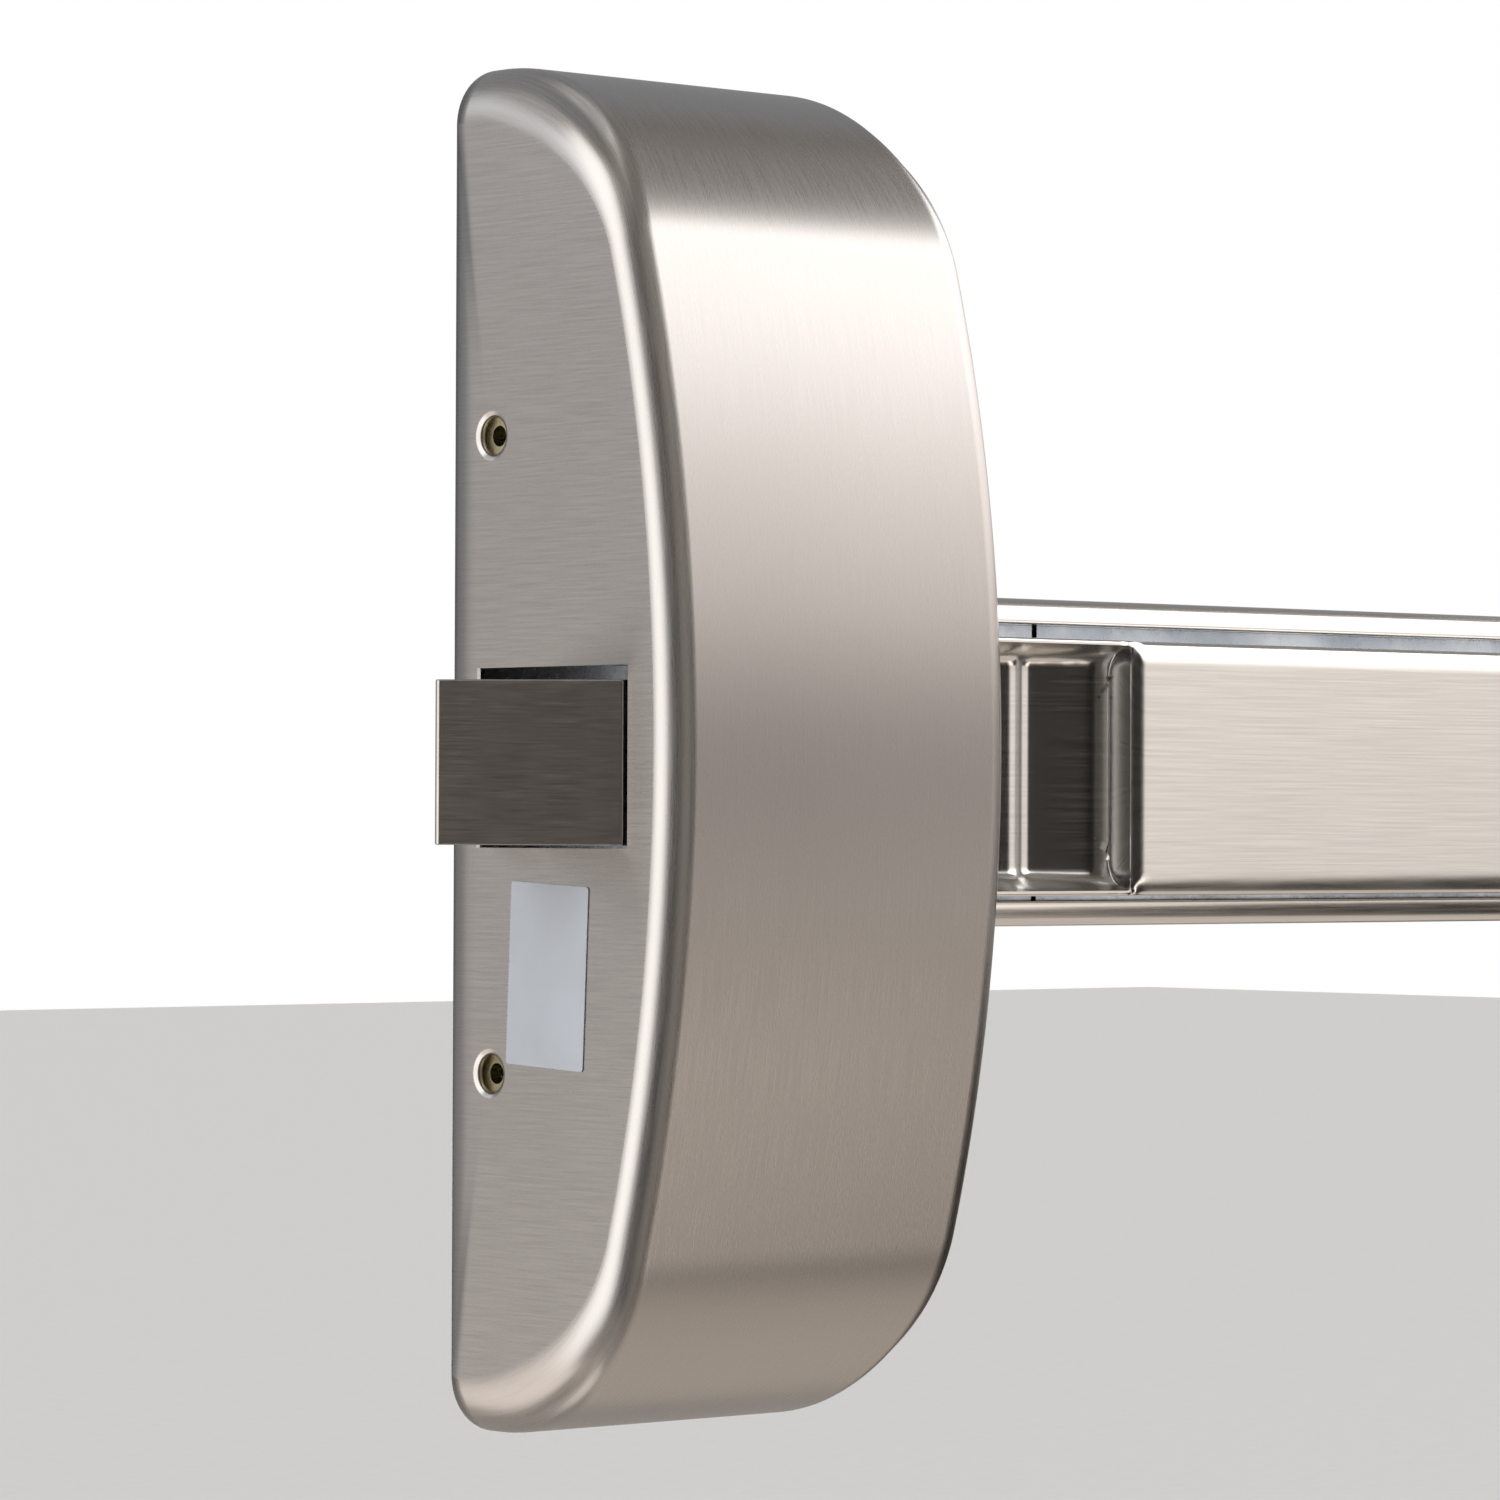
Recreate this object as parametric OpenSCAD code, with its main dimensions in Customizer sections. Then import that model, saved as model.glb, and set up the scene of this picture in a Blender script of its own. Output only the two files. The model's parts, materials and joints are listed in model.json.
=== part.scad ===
// Rim panic exit bar: latch head, rail, push pad and the linkage between them.
// X runs along the rail away from the latch, Y points into the door, Z is up.
// The origin is the middle of the head's four mounting holes, on the door's face.
// A depth is a distance out of the door, so a depth d lies at Y = -d.

/* [Head] */
// Width of the head cover along the rail
head_w = 72; // [72:0.5:76]
// Height of the head cover
head_h = 216; // [210:1:230]
// Depth of the head cover at its middle
head_d = 52.6; // [52.4:0.2:56]
// Sheet thickness of the head cover
cover_wall = 1.5; // [1.2:0.1:1.6]
// How far the cover's middle sits above the rail's centre line
cover_rise = 1.4; // [0:0.1:2]

/* [Latch] */
// Travel of the latch bolt
bolt_throw = 19; // [17:0.5:19]
// Height of the latch bolt
bolt_h = 25.4; // [23:0.1:26]
// Travel of the deadlatch trigger
trigger_throw = 9; // [6:0.5:9]

/* [Rail] */
// Overall length of the device
overall_l = 838; // [800:1:1100]
// Height of the rail
rail_h = 53.5; // [53:0.1:54]
// Depth of the rail's front lips
rail_d = 37; // [36.8:0.1:37.4]
// Sheet thickness of the rail
rail_wall = 1.5; // [1.2:0.1:1.5]

/* [Push pad] */
// Length of the push pad
pad_l = 540; // [520:1:560]
// Height of the push pad
pad_h = 41.5; // [40:0.1:42]
// Depth of the pad's face at rest
pad_d = 49.5; // [49.5:0.1:50]
// Travel of the push pad
pad_travel = 12.5; // [10:0.5:12.5]
// How far the pad hangs below the rail's centre line
pad_drop = 0.9; // [0:0.1:1]

/* [Linkage] */
// Depth of the bell crank pivots
pivot_d = 30.3; // [29.8:0.1:30.3]
// Depth of the actuating rod's centre line
rod_d = 9.5; // [9.5:0.1:9.8]
// Where the crank nearer the head turns, along X
crank_near_x = 120; // [115:1:140]
// Where the crank further from the head turns, along X
crank_far_x = 500; // [480:1:500]

/* [Hidden] */
$fn = 64;

// Amount by which a cut runs past the face it opens
past = 1;
steel = [0.66, 0.64, 0.62];
polished = [0.78, 0.77, 0.76];
zinc = [0.72, 0.75, 0.80];
dark_steel = [0.42, 0.41, 0.40];

// Head
head_left = -head_w / 2;
head_right = head_w / 2;
front_r = 290;
corner_r = 41;
base_t = 3;
base_half_w = 32;
base_half_h = 94;
mount_hole_r = 2.75;
mount_x = 22;
mount_z = 80;
slot_d = [5.6, 42];
slot_half_h = 14.1;
cover_screw_z = [50.5, -49.5];
cover_screw_d = 9;
cover_hole_r = 3;
m4_tap_r = 1.65;

// Latch
case_wall_z = 15.2;
case_t = 1.8;
case_floor_d = 4.5;
bolt_flat_d = 18;
bolt_front_d = 40.4;
bolt_rear_x = head_left + 3.5;
bolt_low_z = -13.6;
stem_r = 3.2;
stem_d = 24.5;
stem_z = -0.9;
stem_x = [head_left - 9, 0];
pocket_r = 5.3;
pocket_x = head_left - 4;
retract_x = -13;
retract_t = 3;
nut_gap = 0.4;
nut_t = 3.4;
trigger_z = [-12.6, 2];
trigger_rear_x = -23.5;
trigger_spring_d = 10;
trigger_spring_z = -6;
trigger_tab_x = -3;

// Rail
rail_base_d = 3;
rail_half = rail_h / 2;
lip_h = 4.25;
lip_r = 2.4;
hem_d = 33.3;
rail_left_x = 22;
device_right = overall_l - head_w / 2;
end_cap_l = 32;
rail_right_x = device_right - end_cap_l + 8;
web_d = rail_base_d + rail_wall;
rail_screw_z = 14;
rail_screw_head_x = 27;
rail_screw_end_x = device_right - 40;

// Push pad
skin_t = 1.2;
pad_half = pad_h / 2;
pad_r = 4;
pad_left_x = head_right - 3;
pad_right_x = pad_left_x + pad_l;
pan_right_x = pad_left_x + 32.8;
flange_half = 24.5;
flange_d = [31, 33];
carrier_t = 2;
carrier_left_x = pad_left_x + 27;
carrier_half = pad_half - skin_t - 0.05;
support_top_d = 39;
plug_t = 4;

// Linkage: both arms stand square to their push at mid travel
rod_arm = pivot_d - rod_d;
pad_arm = rod_arm * pad_travel / bolt_throw;
half_turn = atan(bolt_throw / 2 / rod_arm);
pin_r = 2.5;
slot_gap = 0.4;
crank_t = 5;
crank_xs = [crank_near_x, crank_far_x];
ear_z = [8, 10];
foot_z = 20;
foot_t = 2;
rod_z = [3.2, 7.2];
rod_half_d = 3.8;
rod_x = [-12, crank_far_x + 45];
guide_gap = 0.4;
spring_tab_x = 340;
guide_mid_x = 400;
return_spring_z = -4;

// A block between two X places, two depths and two heights
module slab(x, d, z) {
    translate([x[0], -d[1], z[0]])
        cube([x[1] - x[0], d[1] - d[0], z[1] - z[0]]);
}

// A round bar along X, at one depth and height
module bar_x(x, d, z, r) {
    translate([x[0], -d, z])
        rotate([0, 90, 0])
            cylinder(r = r, h = x[1] - x[0]);
}

// A round bar out of the door between two depths
module bar_d(x, d, z, r) {
    translate([x, -d[0], z])
        rotate([90, 0, 0])
            cylinder(r = r, h = d[1] - d[0]);
}

// A round bar along Z between two heights
module bar_z(x, d, z, r) {
    translate([x, -d, z[0]])
        cylinder(r = r, h = z[1] - z[0]);
}

// A tube along X
module tube_x(x, d, z, r, bore) {
    difference() {
        bar_x(x, d, z, r);
        bar_x([x[0] - past, x[1] + past], d, z, bore);
    }
}

// An outline in height and depth, drawn out along X
module along_x(x) {
    translate([x[0], 0, 0])
        rotate([90, 0, 0])
            rotate([90, 0, 90])
                linear_extrude(x[1] - x[0])
                    children();
}

// An outline in X and depth, drawn out along Z
module along_z(z) {
    translate([0, 0, z[0]])
        linear_extrude(z[1] - z[0])
            mirror([0, 1])
                children();
}

// A rectangle in height and depth whose two front corners are round
module soft_rect(z, d, r) {
    translate([z[0], d[0]])
        square([z[1] - z[0], d[1] - d[0] - r]);
    translate([z[0] + r, d[0]])
        square([z[1] - z[0] - 2 * r, d[1] - d[0]]);
    for (corner = [z[0] + r, z[1] - r])
        translate([corner, d[1] - r])
            circle(r = r);
}

// The same rectangle as an open-backed channel of sheet
module soft_channel(middle, half, d, r, t) {
    difference() {
        soft_rect([middle - half, middle + half], d, r);
        soft_rect([middle - half + t, middle + half - t], [d[0] - past, d[1] - t], r - t);
    }
}

// A pan-headed screw into the door side: head on seat_d, shank down to tip_d
module pan_screw(x, z, seat_d, tip_d, shank_r, head_r, head_t) {
    bar_d(x, [tip_d, seat_d], z, shank_r);
    difference() {
        bar_d(x, [seat_d, seat_d + head_t], z, head_r);
        for (turn = [0, 90])
            translate([x, -seat_d - head_t, z])
                rotate([0, turn, 0])
                    cube([head_r * 1.1, 2, 0.9], center = true);
    }
}

// The head cover's D outline, pulled in evenly, from a floor depth outwards
module head_outline(inset, floor_d) {
    corner_z = head_h / 2 - corner_r;
    reach = front_r - corner_r;
    middle_d = head_d - front_r;
    corner_d = middle_d + sqrt(reach * reach - corner_z * corner_z);
    swing = asin(corner_z / reach);
    spread = front_r * 2;
    intersection() {
        translate([-head_h, floor_d])
            square([2 * head_h, head_d * 2]);
        union() {
            translate([-head_h / 2 + inset, floor_d])
                square([head_h - 2 * inset, corner_d - floor_d]);
            for (side = [-1, 1])
                translate([side * corner_z, corner_d])
                    circle(r = corner_r - inset, $fn = 180);
            intersection() {
                translate([0, middle_d])
                    circle(r = front_r - inset, $fn = 720);
                translate([0, middle_d])
                    polygon([[0, 0], [-spread * sin(swing), spread * cos(swing)],
                        [spread * sin(swing), spread * cos(swing)]]);
            }
        }
    }
}

module head_cover() {
    color(steel)
        difference() {
            translate([0, 0, cover_rise])
                difference() {
                    along_x([head_left, head_right])
                        head_outline(0, 0);
                    along_x([head_left + cover_wall, head_right - cover_wall])
                        head_outline(cover_wall, -past);
                }
            slab([head_left - past, head_left + cover_wall + past], slot_d,
                [-slot_half_h, slot_half_h]);
            for (z = cover_screw_z)
                bar_x([head_left - past, head_left + cover_wall + past], cover_screw_d, z,
                    cover_hole_r);
            slab([head_right - cover_wall - past, head_right + past], [-past, head_d - 1.8],
                [-rail_half - 0.5, rail_half + 0.5]);
        }
}

// A blank sticker below the latch slot
module rating_label() {
    color([0.79, 0.80, 0.83])
        slab([head_left - 0.2, head_left], [13.3, 33.1], [-48.6, -19.2]);
}

module head_baseplate() {
    window_half_w = 14;
    color(zinc)
        difference() {
            slab([-base_half_w, base_half_w], [0, base_t], [-base_half_h, base_half_h]);
            for (x = [-mount_x, mount_x], z = [-mount_z, mount_z])
                bar_d(x, [-past, base_t + past], z, mount_hole_r);
            for (low = [-66, 36])
                slab([-window_half_w, window_half_w], [-past, base_t + past], [low, low + 30]);
            for (side = [-1, 1]) {
                bar_d(rail_screw_head_x, [-past, base_t + past], side * rail_screw_z, 2.1);
                bar_d(-8, [-past, base_t + past], side * 22, 1.7);
            }
        }
}

// Two bent tabs with tapped bosses that hold the cover's side
module cover_screw_tabs() {
    tab_half = 7;
    tab_x = head_left + cover_wall + 0.1;
    tab_t = 2;
    boss_l = 4;
    color([0.78, 0.74, 0.62])
        for (z = cover_screw_z)
            difference() {
                union() {
                    slab([tab_x, tab_x + tab_t], [base_t, 16], [z - tab_half, z + tab_half]);
                    slab([tab_x, tab_x + 12], [base_t, base_t + tab_t],
                        [z - tab_half, z + tab_half]);
                    bar_x([tab_x, tab_x + tab_t + boss_l], cover_screw_d, z, 3.6);
                }
                bar_x([tab_x - past, tab_x + tab_t + boss_l + past], cover_screw_d, z, m4_tap_r);
            }
}

// A channel on the baseplate that guides the bolt and the trigger
module latch_case() {
    case_x = [head_left + cover_wall + 0.6, 18];
    outer = case_wall_z + case_t;
    color(zinc)
        difference() {
            union() {
                slab(case_x, [base_t, case_floor_d], [-outer, outer]);
                for (side = [-1, 1]) {
                    low = min(side * case_wall_z, side * outer);
                    slab(case_x, [base_t, 46], [low, low + case_t]);
                    foot = min(side * outer, side * 27);
                    slab([-16, 0], [base_t, case_floor_d], [foot, foot + 27 - outer]);
                }
                slab([trigger_tab_x, trigger_tab_x + 1.5], [base_t, 12.6], [-12, -2]);
            }
            for (side = [-1, 1])
                bar_d(-8, [-past, case_floor_d + past], side * 22, 2.05);
        }
}

module latch_case_screws() {
    color(dark_steel)
        for (side = [-1, 1])
            pan_screw(-8, side * 22, case_floor_d, 0.4, 1.7, 3.5, 2.2);
}

// The bolt slopes on the room side, so the door can pull shut over the strike
module latch_bolt() {
    nose_x = head_left - bolt_throw;
    color(dark_steel)
        difference() {
            along_z([bolt_low_z, bolt_low_z + bolt_h])
                polygon([[bolt_rear_x, bolt_flat_d], [nose_x + 0.8, bolt_flat_d],
                    [nose_x, bolt_flat_d + 0.8], [nose_x, bolt_flat_d + 1.4],
                    [head_left + 0.4, bolt_front_d], [bolt_rear_x, bolt_front_d]]);
            bar_x([pocket_x, bolt_rear_x + past], stem_d, stem_z, pocket_r);
            bar_x([stem_x[0], pocket_x + past], stem_d, stem_z, stem_r + 0.05);
        }
}

module bolt_stem() {
    color(zinc)
        bar_x([stem_x[0], retract_x + retract_t + nut_gap + nut_t + 0.4], stem_d, stem_z,
            stem_r);
}

module bolt_stem_nut() {
    near_x = retract_x + retract_t + nut_gap;
    color(zinc)
        tube_x([near_x, near_x + nut_t], stem_d, stem_z, 6, stem_r + 0.05);
}

// Outer shape of the compression spring that throws the bolt
module bolt_spring() {
    color(steel)
        tube_x([pocket_x, retract_x], stem_d, stem_z, 5, 3.9);
}

module deadlatch_trigger() {
    nose_x = head_left - trigger_throw;
    color(polished)
        difference() {
            along_z(trigger_z)
                polygon([[trigger_rear_x, 6.8], [nose_x + 2, 6.8], [nose_x, 8.8],
                    [nose_x, 11], [head_left, 16.8], [trigger_rear_x, 16.8]]);
            bar_x([trigger_rear_x - 4, trigger_rear_x + past], trigger_spring_d,
                trigger_spring_z, 2.9);
        }
}

// Outer shape of the compression spring behind the trigger
module trigger_spring() {
    color(steel)
        tube_x([trigger_rear_x - 4, trigger_tab_x], trigger_spring_d, trigger_spring_z, 2.6, 2);
}

// The angle on the rod's end that pulls the bolt in by its stem nut
module retractor() {
    foot_top_d = 15;
    color(zinc)
        difference() {
            union() {
                slab([retract_x, retract_x + retract_t], [rod_d + rod_half_d, 33], [-9, 9]);
                slab([retract_x, 8], [rod_d + rod_half_d, foot_top_d], [-1, 9]);
            }
            bar_x([retract_x - past, retract_x + retract_t + past], stem_d, stem_z,
                stem_r + 0.3);
            for (x = [-4, 3])
                bar_d(x, [rod_d, foot_top_d + past], 5.2, 1.55);
        }
}

module retractor_rivets() {
    color(steel)
        for (x = [-4, 3])
            bar_d(x, [rod_d, 15], 5.2, 1.5);
}

module actuating_rod() {
    rod_middle_z = (rod_z[0] + rod_z[1]) / 2;
    color(zinc)
        difference() {
            union() {
                slab(rod_x, [rod_d - rod_half_d, rod_d + rod_half_d], rod_z);
                slab([spring_tab_x, spring_tab_x + 3], [rod_d - 3.5, rod_d + 3.5],
                    [return_spring_z - 4.5, rod_z[0]]);
            }
            for (x = crank_xs)
                bar_z(x - bolt_throw / 2, rod_d, [rod_z[0] - past, rod_z[1] + past],
                    pin_r + 0.05);
            for (x = [-4, 3])
                bar_d(x, [rod_d, rod_d + rod_half_d + past], rod_middle_z, 1.55);
        }
}

// The two pins on the rod that the crank forks push
module rod_pins() {
    color(steel)
        for (x = crank_xs)
            bar_z(x - bolt_throw / 2, rod_d, [-4, rod_z[1]], pin_r);
}

// Outer shape of the compression spring that returns rod and pad
module return_spring() {
    color(steel)
        tube_x([spring_tab_x + 3, guide_mid_x], rod_d, return_spring_z, 3.5, 2.6);
}

// A moulded block that the rod slides through
module rod_guide(x, low_z) {
    color([0.12, 0.12, 0.13])
        difference() {
            slab([x, x + 12], [web_d, 17], [low_z, 12]);
            slab([x - past, x + 12 + past],
                [rod_d - rod_half_d - guide_gap, rod_d + rod_half_d + guide_gap],
                [rod_z[0] - guide_gap, rod_z[1] + guide_gap]);
        }
}

// Two bent ears that carry a crank's pivot pin
module crank_bracket(x) {
    half_w = 9;
    color(zinc)
        for (side = [0, 1])
            mirror([0, 0, side])
                difference() {
                    union() {
                        slab([x - half_w, x + half_w], [web_d, 17], ear_z);
                        slab([x - 5, x + 5], [web_d, pivot_d], ear_z);
                        bar_z(x, pivot_d, ear_z, 5);
                        slab([x - half_w, x + half_w], [web_d, web_d + foot_t],
                            [ear_z[0], foot_z]);
                    }
                    bar_z(x, pivot_d, [ear_z[0] - past, ear_z[1] + past], 3.02);
                    bar_d(x, [0, web_d + foot_t + past], 15.5, 2.05);
                }
}

module bracket_screws() {
    color(dark_steel)
        for (x = crank_xs, side = [-1, 1])
            pan_screw(x, side * 15.5, web_d + foot_t, rail_base_d, 2, 3.4, 2.2);
}

module crank_pin(x) {
    color(steel)
        union() {
            bar_z(x, pivot_d, [-ear_z[1] - 0.8, ear_z[1] + 0.8], 3);
            bar_z(x, pivot_d, [ear_z[1], ear_z[1] + 1.4], 4.4);
        }
}

// One crank at rest: its long arm is a fork on the rod pin, its short arm holds the pad pin
module bell_crank(x) {
    slot_half = pin_r + slot_gap;
    pad_reach = pad_arm / cos(half_turn);
    fork_reach = rod_arm + 3.9;
    color(dark_steel)
        translate([x, -pivot_d, 0])
            rotate([0, 0, half_turn])
                difference() {
                    union() {
                        translate([0, 0, -crank_t / 2])
                            linear_extrude(crank_t)
                                union() {
                                    translate([-5.4, 0])
                                        square([10.8, fork_reach]);
                                    translate([-pad_reach, -5.4])
                                        square([pad_reach, 10.8]);
                                    translate([-pad_reach, 0])
                                        circle(r = 5.4);
                                }
                        translate([0, 0, -7.6])
                            cylinder(r = 5.2, h = 15.2);
                    }
                    translate([0, 0, -8])
                        cylinder(r = 3.05, h = 16);
                    translate([-slot_half, rod_arm - 2.2, -crank_t])
                        cube([2 * slot_half, 10, 2 * crank_t]);
                    translate([0, rod_arm - 2.2, -crank_t])
                        cylinder(r = slot_half, h = 2 * crank_t);
                    for (reach = [pad_arm - 0.3, pad_reach + 0.3])
                        translate([-reach, 0, -crank_t])
                            cylinder(r = slot_half, h = 2 * crank_t);
                    translate([-pad_reach - 0.3, -slot_half, -crank_t])
                        cube([pad_reach - pad_arm + 0.6, 2 * slot_half, 2 * crank_t]);
                }
}

// The outer channel, with round lips turned in along its front
module rail_channel() {
    color(polished)
        difference() {
            along_x([rail_left_x, rail_right_x])
                difference() {
                    soft_rect([-rail_half, rail_half], [rail_base_d, rail_d], lip_r);
                    difference() {
                        soft_rect([-rail_half + rail_wall, rail_half - rail_wall],
                            [web_d, rail_d - rail_wall], lip_r - rail_wall);
                        for (side = [-1, 1])
                            translate([side * (rail_half - lip_h + 0.75) - 0.75, hem_d])
                                square([1.5, rail_d - hem_d]);
                    }
                    translate([-rail_half + lip_h, web_d + 1])
                        square([rail_h - 2 * lip_h, rail_d]);
                }
            for (side = [-1, 1]) {
                for (x = [rail_screw_head_x, rail_screw_end_x])
                    bar_d(x, [0, web_d + past], side * rail_screw_z, 2.6);
                for (x = crank_xs)
                    bar_d(x, [0, web_d + past], side * 15.5, 2.05);
            }
        }
}

module rail_screws(x) {
    color(dark_steel)
        for (side = [-1, 1])
            pan_screw(x, side * rail_screw_z, web_d, 0.4, 2.1, 4.4, 2.8);
}

// Rubber posts that stop the pad at the end of its push
module stop_bumpers() {
    color([0.08, 0.08, 0.08])
        for (x = crank_xs, side = [-1, 1])
            bar_d(x + 30, [web_d, flange_d[0] - pad_travel - 0.3], side * 21.9, 2.5);
}

// The stainless skin, with a pan pressed into the end next to the head
module push_pad() {
    pan_face_d = 41.6;
    pan_deep_d = 44.3;
    lip_top_d = pad_d - 0.4;
    color(polished)
        union() {
            along_x([pan_right_x, pad_right_x])
                soft_channel(-pad_drop, pad_half, [flange_d[1] + 0.5, pad_d], pad_r, skin_t);
            for (low = [-pad_drop - pad_half, -pad_drop + pad_half - skin_t])
                slab([pad_left_x, pan_right_x + skin_t], [flange_d[1] + 0.5, lip_top_d - pad_r / 2],
                    [low, low + skin_t]);
            along_z([-pad_drop - pad_half + skin_t / 2, -pad_drop + pad_half - skin_t / 2])
                polygon([[pad_left_x, pan_face_d], [pad_left_x + 13, pan_face_d],
                    [pan_right_x - 1.4, pan_deep_d], [pan_right_x, pad_d - pad_r],
                    [pan_right_x + skin_t, pad_d - pad_r], [pan_right_x - 0.2, pan_deep_d - skin_t],
                    [pad_left_x + 13.2, pan_face_d - skin_t], [pad_left_x, pan_face_d - skin_t]]);
            along_x([pan_right_x, pan_right_x + skin_t])
                soft_rect([-pad_drop - pad_half, -pad_drop + pad_half],
                    [pan_deep_d - 1, pad_d], pad_r);
        }
}

// Hat section of the zinc pieces under the skin: a channel with flanges turned out
module hat_section(top_d, r) {
    soft_channel(-pad_drop, carrier_half, [flange_d[0], top_d], r, carrier_t);
    hat_flanges();
}

// The two flanges alone, each with the wall it turns out from
module hat_flanges(wall_top_d = flange_d[1]) {
    for (side = [-1, 1]) {
        wall_z = side * carrier_half - pad_drop;
        inner_z = wall_z - side * carrier_t;
        edge_z = side * flange_half;
        translate([min(edge_z, inner_z), flange_d[0]])
            square([abs(edge_z - inner_z), flange_d[1] - flange_d[0]]);
        translate([min(wall_z, inner_z), flange_d[0]])
            square([carrier_t, wall_top_d - flange_d[0]]);
    }
}

// The zinc channel that stiffens the skin and hooks behind the rail's lips
module pad_carrier() {
    color(zinc)
        difference() {
            union() {
                along_x([carrier_left_x, pan_right_x + 3.2])
                    hat_flanges(support_top_d);
                along_x([pan_right_x + 3, pad_right_x - 2.2])
                    hat_section(pad_d - skin_t, pad_r - skin_t);
            }
            for (x = crank_xs) {
                slab([x - 24, x + 10], [pad_d - skin_t - carrier_t - past, pad_d], [-13, 13]);
                bar_z(x - pad_arm, pivot_d + pad_travel / 2, [-rail_half, rail_half],
                    pin_r + 0.05);
            }
        }
}

// A shorter zinc piece of the same section under the pan
module pan_support() {
    color(zinc)
        along_x([pad_left_x + 1, carrier_left_x - 1])
            hat_section(support_top_d, carrier_t + 0.5);
}

// The two pins across the carrier that the cranks' short arms hold
module pad_pins() {
    color(steel)
        for (x = crank_xs)
            bar_z(x - pad_arm, pivot_d + pad_travel / 2,
                [-carrier_half - pad_drop, carrier_half - pad_drop], pin_r);
}

module pad_end_plug() {
    tongue_half = carrier_half - carrier_t - 0.2;
    color([0.10, 0.10, 0.11])
        union() {
            along_x([pad_right_x, pad_right_x + plug_t])
                soft_rect([-pad_drop - pad_half, -pad_drop + pad_half],
                    [flange_d[0], pad_d], pad_r);
            slab([pad_right_x - 2, pad_right_x], [34, pad_d - skin_t - carrier_t - 0.2],
                [-pad_drop - tongue_half, -pad_drop + tongue_half]);
        }
}

// The fixed cover strip between the pad and the end cap
module rail_filler() {
    filler_half = 22.2;
    filler_top_d = 39.5;
    color(polished)
        along_x([pad_right_x + plug_t + 1.5, rail_right_x])
            union() {
                soft_channel(0, filler_half, [hem_d - skin_t, filler_top_d], 3, skin_t);
                for (side = [-1, 1]) {
                    low = min(side * (filler_half - skin_t), side * flange_half);
                    translate([low, hem_d - skin_t])
                        square([flange_half - filler_half + skin_t, skin_t]);
                }
            }
}

// The plate that carries the rail's free end, with a tapped post for the end cap
module end_bracket() {
    post_x = device_right - 14;
    color(zinc)
        difference() {
            union() {
                slab([device_right - 54, device_right - 3], [0, base_t], [-24, 24]);
                bar_d(post_x, [0, 39.6], 0, 4.5);
            }
            for (side = [-1, 1]) {
                bar_d(device_right - 12, [-past, base_t + past], side * 16, mount_hole_r);
                bar_d(rail_screw_end_x, [-past, base_t + past], side * rail_screw_z, 2.1);
            }
            bar_d(post_x, [20, 40.6], 0, m4_tap_r);
        }
}

module end_cap() {
    cap_x = [device_right - end_cap_l, device_right];
    cap_half = rail_half + 1.75;
    color(steel)
        difference() {
            along_x(cap_x)
                soft_rect([-cap_half, cap_half], [0, 41.2], 5);
            along_x([cap_x[0] - past, cap_x[1] - 2])
                soft_rect([-cap_half + 1.5, cap_half - 1.5], [-past, 39.7], 3.5);
            bar_d(device_right - 14, [39, 42], 0, 2.2);
        }
}

module end_cap_screw() {
    color(steel)
        pan_screw(device_right - 14, 0, 41.2, 26, 1.6, 3.8, 2.2);
}

head_cover();
rating_label();
head_baseplate();
cover_screw_tabs();
latch_case();
latch_case_screws();
latch_bolt();
bolt_stem();
bolt_stem_nut();
bolt_spring();
deadlatch_trigger();
trigger_spring();
retractor();
retractor_rivets();
actuating_rod();
rod_pins();
return_spring();
rod_guide(60, -1.5);  // rod_guide_near
rod_guide(guide_mid_x, -9);  // rod_guide_mid
rod_guide(crank_far_x + 25, -1.5);  // rod_guide_far
crank_bracket(crank_near_x);  // crank_bracket_near
crank_bracket(crank_far_x);  // crank_bracket_far
bracket_screws();
crank_pin(crank_near_x);  // crank_pin_near
crank_pin(crank_far_x);  // crank_pin_far
bell_crank(crank_near_x);  // bell_crank_near
bell_crank(crank_far_x);  // bell_crank_far
rail_channel();
rail_screws(rail_screw_head_x);  // rail_head_screws
rail_screws(rail_screw_end_x);  // rail_end_screws
stop_bumpers();
push_pad();
pad_carrier();
pan_support();
pad_pins();
pad_end_plug();
rail_filler();
end_bracket();
end_cap();
end_cap_screw();
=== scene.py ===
"""Looks of a rim panic exit bar: latch head, rail, push pad and end cap.

X runs along the rail away from the latch, Y points into the door and Z is up. A depth is a
distance out of the door, so a depth d lies at Y = -d. Lengths are in metres.
"""
import json
import logging
import math
from collections.abc import Callable, Iterable, Sequence
from dataclasses import dataclass, field
from enum import Enum

import bmesh
import bpy
from bpy.types import Material, Mesh, Node, NodeSocket, NodeTree, Object
from mathutils import Matrix, Vector, noise


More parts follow.
